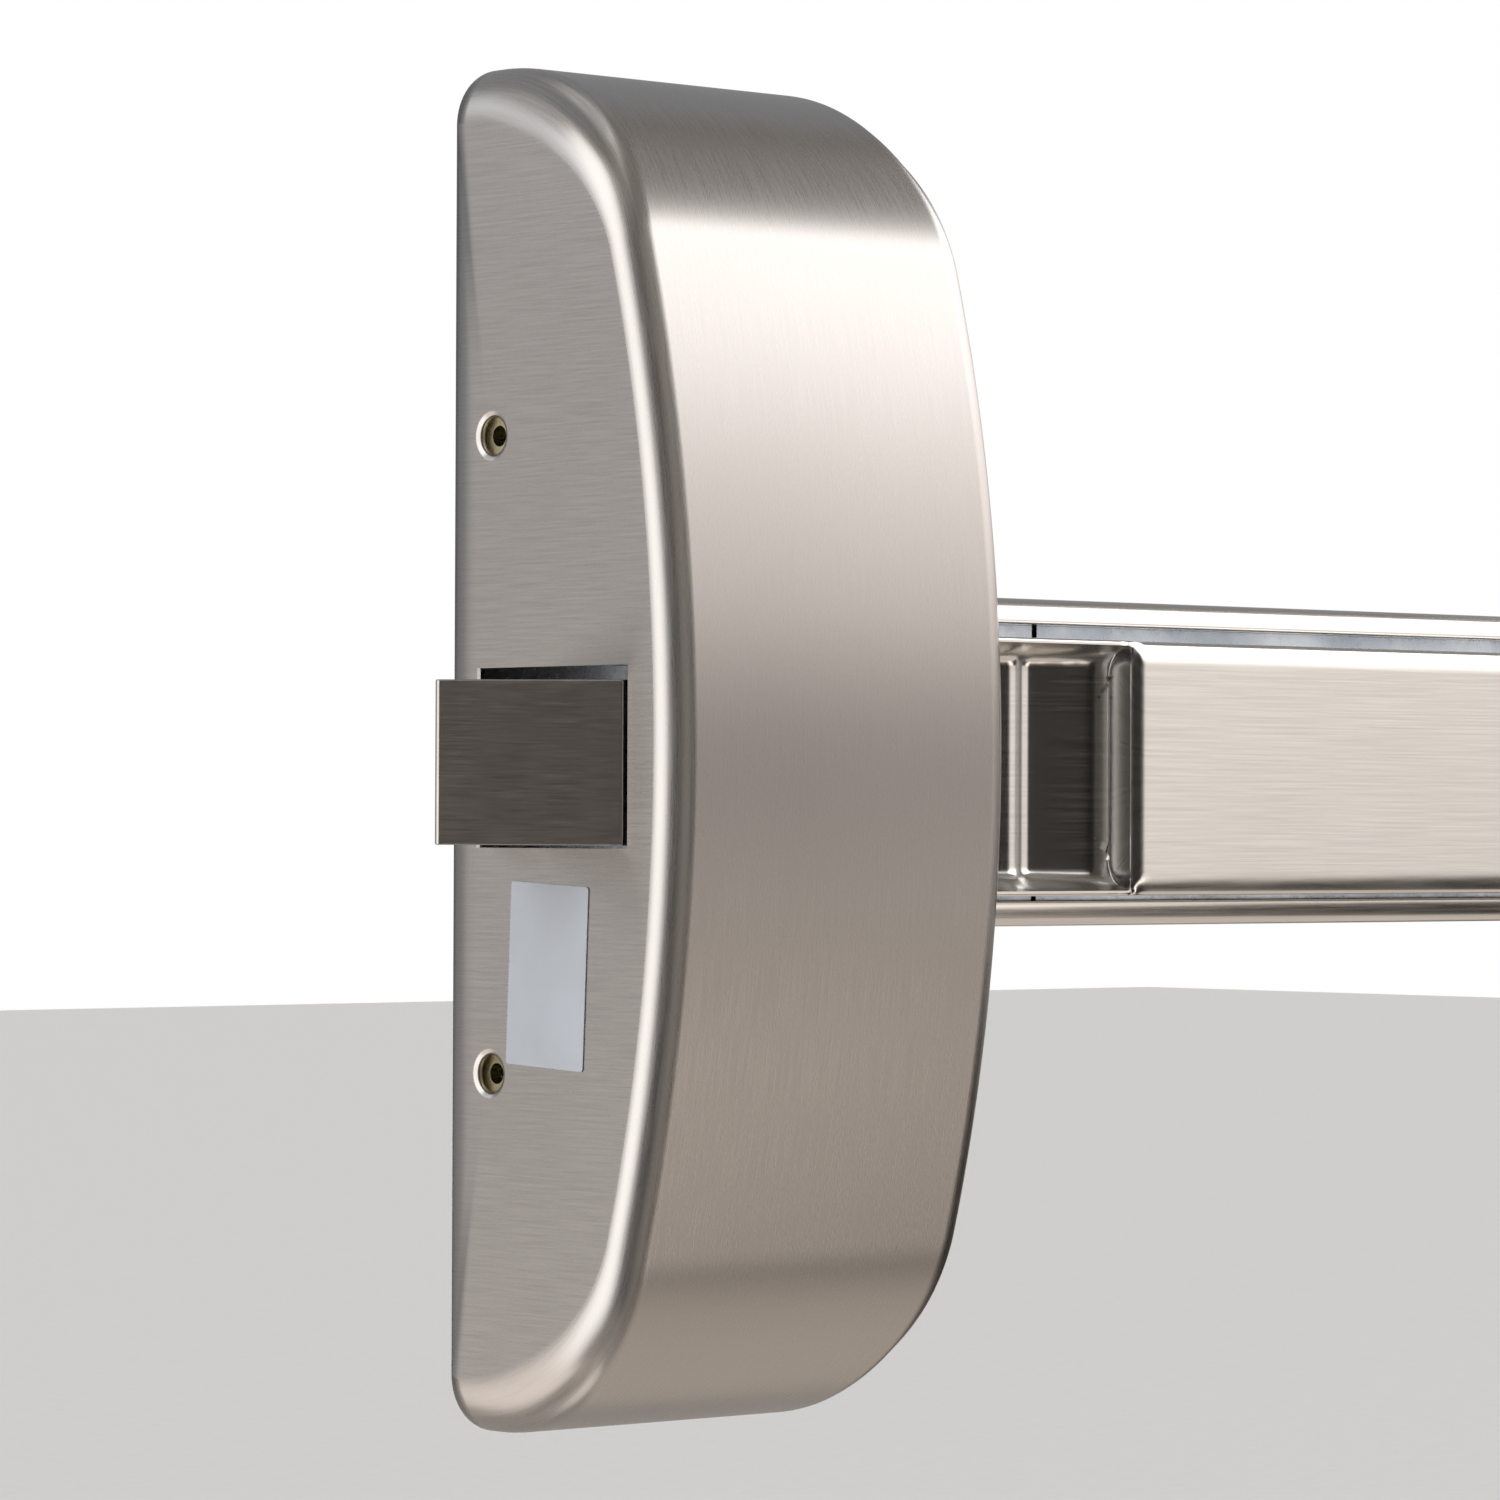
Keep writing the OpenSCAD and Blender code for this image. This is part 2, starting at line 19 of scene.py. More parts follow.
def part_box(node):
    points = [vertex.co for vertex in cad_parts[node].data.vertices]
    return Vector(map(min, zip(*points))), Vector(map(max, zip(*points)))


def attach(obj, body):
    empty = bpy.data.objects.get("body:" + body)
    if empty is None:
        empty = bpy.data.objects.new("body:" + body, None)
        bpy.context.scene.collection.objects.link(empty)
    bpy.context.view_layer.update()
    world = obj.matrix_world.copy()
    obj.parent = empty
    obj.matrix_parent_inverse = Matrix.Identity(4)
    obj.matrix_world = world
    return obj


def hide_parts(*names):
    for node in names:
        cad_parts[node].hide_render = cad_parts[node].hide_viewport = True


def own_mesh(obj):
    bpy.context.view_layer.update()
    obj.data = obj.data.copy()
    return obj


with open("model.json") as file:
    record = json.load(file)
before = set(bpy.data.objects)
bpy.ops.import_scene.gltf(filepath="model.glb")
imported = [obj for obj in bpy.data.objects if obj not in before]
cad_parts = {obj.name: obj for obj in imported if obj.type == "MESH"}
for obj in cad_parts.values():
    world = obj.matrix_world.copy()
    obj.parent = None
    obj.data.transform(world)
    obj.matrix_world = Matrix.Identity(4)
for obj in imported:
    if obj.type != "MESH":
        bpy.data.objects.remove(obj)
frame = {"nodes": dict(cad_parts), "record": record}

BMesh, BMEdge = bmesh.types.BMesh, bmesh.types.BMEdge
LOG = logging.getLogger("exit_bar")
GRAIN_UV = "grain"
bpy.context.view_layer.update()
BODY_OF = {node: body for body, nodes in frame["record"]["behaviour"]["bodies"].items()
           for node in nodes}
SLOT_OF = {part["node"]: part["material_slot"] for part in frame["record"]["subparts"]}


def mm(value: float) -> float:
    """A length in millimetres as metres."""
    return value / 1000.0


def smooth(low: float, high: float, value: float) -> float:
    """An S-curve from 0 at low to 1 at high."""
    share = min(1.0, max(0.0, (value - low) / (high - low)))
    return share * share * (3.0 - 2.0 * share)


def spread(low: float, high: float, count: int) -> list[float]:
    """Evenly spaced values from low to high, both included."""
    return [low + (high - low) * i / (count - 1) for i in range(count)]


def linear(colour: str) -> tuple[float, float, float, float]:
    """An sRGB hex colour as the linear colour that shaders work in.

    Args:
        colour: Six hex digits, such as "c8ccd2".

    Returns:
        Red, green, blue and alpha.
    """
    parts = [int(colour[i:i + 2], 16) / 255.0 for i in (0, 2, 4)]
    red, green, blue = (c / 12.92 if c <= 0.04045 else ((c + 0.055) / 1.055) ** 2.4
                        for c in parts)
    return red, green, blue, 1.0


def add_node(tree: NodeTree, kind: str, inputs: dict | None = None, **settings: object) -> Node:
    """Adds a node with its settings and links.

    Args:
        tree: The node tree that takes the node.
        kind: The node's type, such as "ShaderNodeMath".
        inputs: Socket name or index to a value, or to an output socket to link from.
        **settings: The node's own properties.

    Returns:
        The new node.
    """
    node = tree.nodes.new(kind)
    for name, value in settings.items():
        setattr(node, name, value)
    for key, value in (inputs or {}).items():
        if isinstance(value, NodeSocket):
            tree.links.new(value, node.inputs[key])
        else:
            node.inputs[key].default_value = value
    return node


def add_noise(tree: NodeTree, point: NodeSocket, scale: float, detail: float,
              roughness: float = 0.5) -> NodeSocket:
    """Adds a noise texture at a point, and gives its value from 0 to 1."""
    return add_node(tree, "ShaderNodeTexNoise", {
        "Vector": point, "Scale": scale, "Detail": detail,
        "Roughness": roughness}).outputs["Fac"]


def rescale(tree: NodeTree, value: NodeSocket, old: tuple[float, float],
            new: tuple[float, float] = (0.0, 1.0)) -> NodeSocket:
    """Moves a value from the old range to the new one, and holds it inside."""
    return add_node(tree, "ShaderNodeMapRange", {
        "Value": value, "From Min": old[0], "From Max": old[1],
        "To Min": new[0], "To Max": new[1]}).outputs["Result"]


class Grain(Enum):
    """The way that a sheet's brushing runs."""

    ALONG_RAIL = (1.0, 0.0, 0.0)
    INTO_DOOR = (0.0, 1.0, 0.0)
    UPRIGHT = (0.0, 0.0, 1.0)


@dataclass(frozen=True)
class Finish:
    """What every finish shares: two close tones, and a roughness that a fine texture moves."""

    name: str
    dark: str
    light: str
    roughness: float
    roughness_swing: float

    def build(self) -> Material:
        """Makes the material.

        Returns:
            The material, under the finish's name.
        """
        material = bpy.data.materials.new(self.name)
        material.use_nodes = True
        tree = material.node_tree
        tree.nodes.clear()
        shader = add_node(tree, "ShaderNodeBsdfPrincipled", self.surface(tree))
        add_node(tree, "ShaderNodeOutputMaterial", {"Surface": shader.outputs["BSDF"]})
        return material

    def surface(self, tree: NodeTree) -> dict[str, object]:
        """The shader's inputs, which each kind of finish fills."""
        raise NotImplementedError(self.name)

    def shared(self, tree: NodeTree, tone: NodeSocket, texture: NodeSocket,
               relief_mm: float) -> dict[str, object]:
        """The shader inputs that all kinds fill alike.

        Args:
            tree: The material's node tree.
            tone: Share of the light tone, from 0 to 1.
            texture: The fine texture that the roughness and the relief follow.
            relief_mm: Height of the relief.

        Returns:
            The colour, roughness and normal.
        """
        colour = add_node(tree, "ShaderNodeMix", {
            0: tone, 6: linear(self.dark), 7: linear(self.light)}, data_type="RGBA")
        rough = rescale(tree, texture, (0.3, 0.7), (self.roughness - self.roughness_swing,
                                                    self.roughness + self.roughness_swing))
        relief = add_node(tree, "ShaderNodeBump", {
            "Height": texture, "Strength": 1.0, "Distance": mm(relief_mm)})
        return {"Base Color": colour.outputs[2], "Roughness": rough,
                "Normal": relief.outputs["Normal"]}


@dataclass(frozen=True)
class BrushedMetal(Finish):
    """Metal sheet or bar with fine parallel scratches.

    A metal's shine is its colour, so two close tones carry the streaks. The tangent lies across
    the grain, which draws each reflection out sideways and keeps its ends sharp.
    """

    anisotropy: float
    streak_mm: float
    run_mm: float
    relief_mm: float
    mottle_mm: float
    mottle_depth: float

    def surface(self, tree: NodeTree) -> dict[str, object]:
        """Fills the inputs from the grain UV map, with U across the grain and V along it.

        Args:
            tree: The material's node tree.

        Returns:
            The shader's inputs.
        """
        grain = add_node(tree, "ShaderNodeUVMap", uv_map=GRAIN_UV)
        stretched = add_node(tree, "ShaderNodeMapping", {
            "Vector": grain.outputs["UV"],
            "Scale": (1 / mm(self.streak_mm), 1 / mm(self.run_mm), 1.0)})
        streaks = add_noise(tree, stretched.outputs["Vector"], 1.0, 4.0, 0.62)
        place = add_node(tree, "ShaderNodeTexCoord").outputs["Object"]
        mottle = rescale(tree, add_noise(tree, place, 1 / mm(self.mottle_mm), 2.0), (0.3, 0.7),
                         (-self.mottle_depth, self.mottle_depth))
        tone = add_node(tree, "ShaderNodeMath", {
            0: rescale(tree, streaks, (0.32, 0.68)), 1: mottle}, operation="ADD", use_clamp=True)
        tangent = add_node(tree, "ShaderNodeTangent", direction_type="UV_MAP", uv_map=GRAIN_UV)
        return {**self.shared(tree, tone.outputs[0], streaks, self.relief_mm), "Metallic": 1.0,
                "Anisotropic": self.anisotropy, "Tangent": tangent.outputs["Tangent"]}


@dataclass(frozen=True)
class EvenFinish(Finish):
    """A finish with no grain: plating, moulding, wire, rubber or film."""

    speck_mm: float
    relief_mm: float
    metallic: float = 0.0
    ior: float = 1.5
    coat: float = 0.0
    cloud_mm: float = 18.0

    def surface(self, tree: NodeTree) -> dict[str, object]:
        """Fills the inputs with fine specks over slow clouds of tone.

        Args:
            tree: The material's node tree.

        Returns:
            The shader's inputs.
        """
        place = add_node(tree, "ShaderNodeTexCoord").outputs["Object"]
        specks = add_noise(tree, place, 1 / mm(self.speck_mm), 5.0)
        clouds = rescale(tree, add_noise(tree, place, 1 / mm(self.cloud_mm), 3.0), (0.35, 0.65))
        return {**self.shared(tree, clouds, specks, self.relief_mm),
                "Metallic": self.metallic, "IOR": self.ior, "Coat Weight": self.coat}


# Real brushing is about 0.1 mm apart; it is drawn about 0.3 mm apart so that it shows.
FINISHES: tuple[Finish, ...] = (
    # Deep drawn stainless, belt brushed afterwards: a warm grey with long soft highlights.
    BrushedMetal("stainless_belt_brushed", "b3aeaa", "bdb8b4", 0.28, 0.03, 0.78, 0.30, 13.0,
                 0.0010, 46.0, 0.12),
    # Roll formed stainless with the mill's fine polish: brighter, with clearer reflections.
    BrushedMetal("stainless_fine_polished", "d3d0cc", "dedbd7", 0.19, 0.03, 0.60, 0.34, 26.0,
                 0.0007, 60.0, 0.10),
    # Cast bolt ground along its length: darker and duller than sheet, with short wavy scratches.
    BrushedMetal("bolt_stainless_satin_ground", "a39d97", "b2aca6", 0.33, 0.05, 0.60, 0.26, 8.0,
                 0.002, 8.0, 0.30),
    # Pressed steel, bright zinc plated: a cold blue cast with cloudy patches.
    EvenFinish("steel_bright_zinc_plated", "a3adb8", "c9d1da", 0.24, 0.06, 1.2, 0.003, 1.0),
    # Steel with yellow passivated zinc: pale straw with a soft shine.
    EvenFinish("steel_yellow_passivated", "a39877", "c2b896", 0.30, 0.06, 1.0, 0.003, 1.0),
    # Cold headed steel screws and pins, plated: neutral and fairly dull.
    EvenFinish("steel_plated_fasteners", "85878a", "a9abad", 0.34, 0.06, 0.8, 0.003, 1.0),
    # Hard drawn spring wire, lightly oiled: dark with a wet sheen.
    EvenFinish("wire_hard_drawn_oiled", "6e6d6c", "949392", 0.26, 0.05, 0.7, 0.002, 1.0),
    # Moulded black nylon: matt with a fine spark eroded texture.
    EvenFinish("nylon_moulded_black", "1b1b1d", "262628", 0.52, 0.06, 0.5, 0.012, ior=1.53),
    # Moulded rubber: black and dull.
    EvenFinish("rubber_moulded_black", "161616", "1f1f1f", 0.78, 0.06, 0.6, 0.010, ior=1.52),
    # Pale polyester film, left blank: a satin pale grey with a cold cast.
    EvenFinish("label_film_satin", "b2b6bc", "bbbfc6", 0.34, 0.03, 0.6, 0.002, coat=0.15),
)
MATERIAL_OF_SLOT = {
    "brushed_stainless": "stainless_belt_brushed",
    "polished_stainless": "stainless_fine_polished",
    "bolt_stainless": "bolt_stainless_satin_ground",
    "zinc_plated_steel": "steel_bright_zinc_plated",
    "brass_plate": "steel_yellow_passivated",
    "fastener_steel": "steel_plated_fasteners",
    "spring_wire": "wire_hard_drawn_oiled",
    "moulded_nylon": "nylon_moulded_black",
    "bumper_rubber": "rubber_moulded_black",
    "label_stock": "label_film_satin",
}


def finish_of(node: str) -> Material:
    """The material for a CAD node, by its slot in the record."""
    return bpy.data.materials[MATERIAL_OF_SLOT[SLOT_OF[node]]]


def lay_grain(mesh: Mesh, grain: Grain) -> None:
    """Writes the grain UV map face by face: V runs along the grain, and U across it.

    Args:
        mesh: The mesh, with its final faces.
        grain: The way the brushing runs. A face square to it is brushed along the next axis.
    """
    layer = mesh.uv_layers.get(GRAIN_UV) or mesh.uv_layers.new(name=GRAIN_UV)
    way = Vector(grain.value)
    other = Vector((way.z, way.x, way.y))
    for face in mesh.polygons:
        across = face.normal.cross(way)
        if across.length < 0.35:
            across = face.normal.cross(other)
        across.normalize()
        along = across.cross(face.normal)
        for loop in face.loop_indices:
            point = mesh.vertices[mesh.loops[loop].vertex_index].co
            layer.data[loop].uv = (point.dot(across), point.dot(along))


def finish_piece(piece: Object, node: str, sharp_deg: float = 38.0) -> None:
    """Shades a piece, gives it its finish and puts it in the place of a CAD node.

    Args:
        piece: The piece, in place.
        node: The CAD node that it stands for.
        sharp_deg: Edges that turn more than this stay crisp.
    """
    mesh = piece.data
    mesh.materials.clear()
    mesh.materials.append(finish_of(node))
    mesh.shade_smooth()
    mesh.set_sharp_from_angle(angle=math.radians(sharp_deg))
    normals = piece.modifiers.new("face_weighted_normals", "WEIGHTED_NORMAL")
    normals.keep_sharp = True
    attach(piece, BODY_OF[node])
    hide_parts(node)
    LOG.info("%s stands for %s, %d faces", piece.name, node, len(mesh.polygons))


def new_piece(name: str, bm: BMesh) -> Object:
    """Turns a bmesh into an object in the scene.

    Args:
        name: Name of the object and its mesh.
        bm: The bmesh, which is used up.

    Returns:
        The object.
    """
    mesh = bpy.data.meshes.new(name)
    bm.to_mesh(mesh)
    bm.free()
    piece = bpy.data.objects.new(name, mesh)
    bpy.context.scene.collection.objects.link(piece)
    return piece


def soften(node: str, radius_mm: float, grain: Grain, steps: int = 2) -> None:
    """Makes a copy of a CAD node whose cut edges are rounded, and puts it in its place.

    Args:
        node: The CAD node.
        radius_mm: Radius of the broken edges.
        grain: The way its brushing runs.
        steps: Segments in each rounded edge.
    """
    bm = bmesh.new()
    bm.from_mesh(frame["nodes"][node].data)
    bmesh.ops.remove_doubles(bm, verts=bm.verts, dist=1e-6)
    bmesh.ops.dissolve_limit(bm, angle_limit=math.radians(0.6), verts=bm.verts, edges=bm.edges)
    cut = [e for e in bm.edges
           if len(e.link_faces) == 2 and e.calc_face_angle(0.0) > math.radians(40)]
    bmesh.ops.bevel(bm, geom=cut, offset=mm(radius_mm), offset_type="OFFSET", segments=steps,
                    profile=0.5, affect="EDGES", clamp_overlap=True)
    piece = new_piece(node + "_finished", bm)
    lay_grain(piece.data, grain)
    finish_piece(piece, node)


def sweep_sheet(name: str, rows: Sequence[Sequence[Vector]],
                keep: Callable[[int, int], bool] = lambda row, column: True,
                onto: BMesh | None = None,
                lay: Callable[[Vector], tuple[float, float]] | None = None) -> BMesh:
    """Joins rows of points into a sheet of quads with its grain UV map.

    Args:
        name: Used in the log.
        rows: Rows of points, each with the same count.
        keep: Says whether the quad that starts at a row and column is made.
        onto: A sheet that takes the quads, or None for a new one.
        lay: Gives U and V at a point. Without it U runs from row to row and V along a row.

    Returns:
        The sheet.
    """
    bm = onto or bmesh.new()
    layer = bm.loops.layers.uv.verify() if onto else bm.loops.layers.uv.new(GRAIN_UV)
    grid = [[bm.verts.new(point) for point in row] for row in rows]
    middle = len(rows[0]) // 2
    across = [0.0]
    for before, after in zip(rows, rows[1:]):
        across.append(across[-1] + (after[middle] - before[middle]).length)
    centre_row = rows[len(rows) // 2]
    along = [0.0]
    for before, after in zip(centre_row, centre_row[1:]):
        along.append(along[-1] + (after - before).length)
    for i in range(len(rows) - 1):
        for j in range(len(rows[0]) - 1):
            if not keep(i, j):
                continue
            corners = ((i, j), (i, j + 1), (i + 1, j + 1), (i + 1, j))
            face = bm.faces.new([grid[a][b] for a, b in corners])
            for loop, (a, b) in zip(face.loops, corners):
                loop[layer].uv = lay(rows[a][b]) if lay else (across[a], along[b])
    LOG.info("%s: %d x %d points", name, len(rows), len(rows[0]))
    return bm


def thicken(piece: Object, sheet_mm: float, even: bool = True) -> None:
    """Gives a sheet its thickness on the inner side.

    Args:
        piece: The sheet, whose faces look outwards.
        sheet_mm: The thickness.
        even: Whether it is kept even at the folds, which long thin triangles can't take.
    """
    solid = piece.modifiers.new("sheet", "SOLIDIFY")
    solid.thickness = mm(sheet_mm)
    solid.offset = -1.0
    solid.use_even_offset = even


def face_outwards(bm: BMesh, spot: Vector, way: Vector) -> None:
    """Turns a sheet's faces outwards.

    Args:
        bm: The sheet.
        spot: A place on it.
        way: The way that it looks at that place.
    """
    bmesh.ops.recalc_face_normals(bm, faces=bm.faces)
    nearest = min(bm.faces, key=lambda face: (face.calc_center_median() - spot).length)
    if nearest.normal.dot(way) < 0:
        bmesh.ops.reverse_faces(bm, faces=bm.faces)


def drop_loose(bm: BMesh) -> None:
    """Deletes the points that no face uses."""
    bmesh.ops.delete(bm, geom=[v for v in bm.verts if not v.link_faces], context="VERTS")


@dataclass(frozen=True)
class Card:
    """A soft panel round the object, seen in its reflections.

    Angles are in degrees. Azimuth is measured from +X towards +Y, and elevation is above the
    horizon. The softness values are half the width of each edge's fade.
    """

    azimuth: float
    half_width: float
    low: float
    high: float
    level: float
    tint: str
    side_soft: float
    low_soft: float = 5.0
    high_soft: float = 5.0

    def glow(self) -> tuple[float, float, float, float]:
        """The tint at the card's level, as a linear colour."""
        red, green, blue, alpha = linear(self.tint)
        return red * self.level, green * self.level, blue * self.level, alpha


@dataclass
class Studio:
    """White studio: the camera, a pale floor, and soft panels that the metal reflects."""

    camera_place: tuple[float, float, float] = (-0.660, -0.770, -0.0102)
    camera_azimuth: float = -41.72
    camera_tilt: float = 0.674
    camera_roll: float = 0.22
    lens_mm: float = 150.6
    floor_place: tuple[float, float, float] = (0.3, 0.0, -0.55)
    floor_half: float = 14.0
    lamp_size: tuple[float, float] = (2.4, 1.6)
    lamp_place: tuple[float, float, float] = (0.2, -0.6, 1.6)
    lamp_tilt: float = -20.0
    lamp_watts: float = 14.0
    room: Card = Card(0, 180, -90, 90, 0.45, "f6efe8", 0)
    cards: tuple[Card, ...] = (
        # The latch side of the room, seen in the cover's flat side: darkest level with it.
        Card(128, 26, -90, 90, 0.58, "fbf9f8", 10),
        Card(128, 36, -80, -14, 1.45, "fff6ee", 12, 10, 10),
        Card(128, 36, 18, 36, 1.50, "f4f8ff", 12, 10, 8),
        # The bright window beyond the latch side, seen in the cover's rounded edge.
        Card(174, 24, -50, 62, 2.4, "ffffff", 5, 14, 12),
        # The dark camera side, seen in the bolt and as the thin line beside the bright one.
        Card(-134, 26, -60, 50, 0.13, "f0e8e0", 3, 10, 10),
        # The room to the left of the softbox, and the dark gap that is seen in the pan.
        Card(-92, 15, -60, 60, 0.40, "fff8f0", 5, 12, 12),
        Card(-65, 11, -80, 46, 0.020, "e8d8c8", 3, 8, 8),
        # The pale room in front, seen in the cover's front and the pad.
        Card(-40, 13, -60, 60, 0.86, "fff8f2", 2, 10, 8),
        Card(-8, 20, -60, 60, 0.40, "fff8f2", 3, 10, 8),
        Card(-16, 37, 6, 60, 1.95, "fffaf6", 3, 5, 8),
        # The main softbox, with a sharp upper edge, and the dull ceiling over it.
        Card(-18, 34, 18, 60, 3.2, "ffffff", 4, 7, 8),
        Card(-20, 95, 35.5, 92, 0.30, "f6f0ea", 12, 0.8, 1),
        # A low window on the left, the dark ground in front, and the paler ground close by.
        Card(-49, 5.5, -60, -9, 2.1, "fff4ea", 1.5, 6, 8),
        Card(-3, 40, -34, -8, 0.05, "e8d8c8", 2, 4, 3),
        Card(3, 60, -92, -35, 0.80, "f4e8dc", 4, 1, 4),
        # The far ground and the backdrop, seen in the back of the rail and the head.
        Card(72, 36, -90, -6, 0.50, "f4ece4", 5, 6, 3),
        Card(66, 44, -7, 92, 0.36, "f0f4fa", 10, 3, 1),
    )

    def build_camera(self) -> None:
        """Places the camera low on the latch side, looking along the rail."""
        lens = bpy.data.cameras.new("camera")
        lens.lens = self.lens_mm
        lens.sensor_width = 36.0
        lens.dof.use_dof = False
        camera = bpy.data.objects.new("camera", lens)
        bpy.context.scene.collection.objects.link(camera)
        azimuth, tilt, roll = (math.radians(a) for a in (
            self.camera_azimuth, self.camera_tilt, self.camera_roll))
        ahead = Vector((-math.sin(azimuth) * math.cos(tilt), math.cos(azimuth) * math.cos(tilt),
                        math.sin(tilt)))
        right = Vector((math.cos(azimuth), math.sin(azimuth), 0.0))
        up = right.cross(ahead)
        across = right * math.cos(roll) + up * math.sin(roll)
        over = up * math.cos(roll) - right * math.sin(roll)
        turn = Matrix((across, over, -ahead)).transposed().to_4x4()
        camera.matrix_world = Matrix.Translation(self.camera_place) @ turn
        bpy.context.scene.camera = camera

    def build_room(self) -> None:
        """Paints the room as a function of direction, with white behind the object."""
        world = bpy.data.worlds.new("studio")
        bpy.context.scene.world = world
        world.use_nodes = True
        tree = world.node_tree
        tree.nodes.clear()
        place = add_node(tree, "ShaderNodeTexCoord")
        axes = add_node(tree, "ShaderNodeSeparateXYZ", {0: place.outputs["Generated"]})
        azimuth = add_node(tree, "ShaderNodeMath", {
            0: axes.outputs["Y"], 1: axes.outputs["X"]}, operation="ARCTAN2").outputs[0]
        elevation = add_node(tree, "ShaderNodeMath", {0: axes.outputs["Z"]},
                             operation="ARCSINE").outputs[0]
        base = add_node(tree, "ShaderNodeRGB")
        base.outputs[0].default_value = self.room.glow()
        painted = base.outputs[0]
        for card in self.cards:
            painted = self.paint_card(tree, card, azimuth, elevation, painted)
        seen = add_node(tree, "ShaderNodeLightPath")
        final = add_node(tree, "ShaderNodeMix", {
            0: seen.outputs["Is Camera Ray"], 6: painted, 7: (1.0, 1.0, 1.0, 1.0)},
            data_type="RGBA")
        light = add_node(tree, "ShaderNodeBackground", {"Color": final.outputs[2]})
        add_node(tree, "ShaderNodeOutputWorld", {"Surface": light.outputs[0]})

    def paint_card(self, tree: NodeTree, card: Card, azimuth: NodeSocket, elevation: NodeSocket,
                   under: NodeSocket) -> NodeSocket:
        """Lays one card over what is painted so far.

        Args:
            tree: The world's node tree.
            card: The card.
            azimuth: The direction's azimuth in radians.
            elevation: The direction's elevation in radians.
            under: The colour so far.

        Returns:
            The colour with the card over it.
        """
        away = add_node(tree, "ShaderNodeMath", {
            0: azimuth, 1: math.radians(card.azimuth)}, operation="SUBTRACT")
        wrapped = add_node(tree, "ShaderNodeMath", {
            0: away.outputs[0], 1: math.pi, 2: -math.pi}, operation="WRAP")
        off = add_node(tree, "ShaderNodeMath", {0: wrapped.outputs[0]}, operation="ABSOLUTE")
        edges = (
            (off.outputs[0], card.half_width + card.side_soft, card.half_width - card.side_soft),
            (elevation, card.low - card.low_soft, card.low + card.low_soft),
            (elevation, card.high + card.high_soft, card.high - card.high_soft))
        mask = None
        for value, outside, inside in edges:
            edge = add_node(tree, "ShaderNodeMapRange", {
                "Value": value, "From Min": math.radians(outside),
                "From Max": math.radians(inside)}, interpolation_type="SMOOTHSTEP").outputs[0]
            if mask is not None:
                edge = add_node(tree, "ShaderNodeMath", {0: mask, 1: edge},
                                operation="MULTIPLY").outputs[0]
            mask = edge
        return add_node(tree, "ShaderNodeMix", {0: mask, 6: under, 7: card.glow()},
                        data_type="RGBA").outputs[2]

    def build_floor(self) -> None:
        """Lays the pale floor, which the metal doesn't mirror."""
        bm = bmesh.new()
        bmesh.ops.create_grid(bm, x_segments=1, y_segments=1, size=self.floor_half)
        floor = new_piece("studio_floor", bm)
        floor.location = self.floor_place
        floor.visible_glossy = False
        paper = EvenFinish("floor_pale_paper", "efeeec", "f1f0ee", 0.85, 0.03, 2.0, 0.003)
        floor.data.materials.append(paper.build())

    def build_lights(self) -> None:
        """Hangs one large soft light overhead, for the soft shadow on the floor."""
        lamp = bpy.data.lights.new("overhead", "AREA")
        lamp.shape = "RECTANGLE"
        lamp.size, lamp.size_y = self.lamp_size
        lamp.energy = self.lamp_watts
        light = bpy.data.objects.new("overhead", lamp)
        light.location = self.lamp_place
        light.rotation_euler = (math.radians(self.lamp_tilt), 0.0, 0.0)
        light.visible_glossy = False
        light.visible_camera = False
        bpy.context.scene.collection.objects.link(light)

    def build(self) -> None:
        """Makes the camera, the room, the floor and the light."""
        self.build_camera()
        self.build_room()
        self.build_floor()
        self.build_lights()
        bpy.context.scene.view_settings.view_transform = "Standard"
        LOG.info("studio: %d cards", len(self.cards))


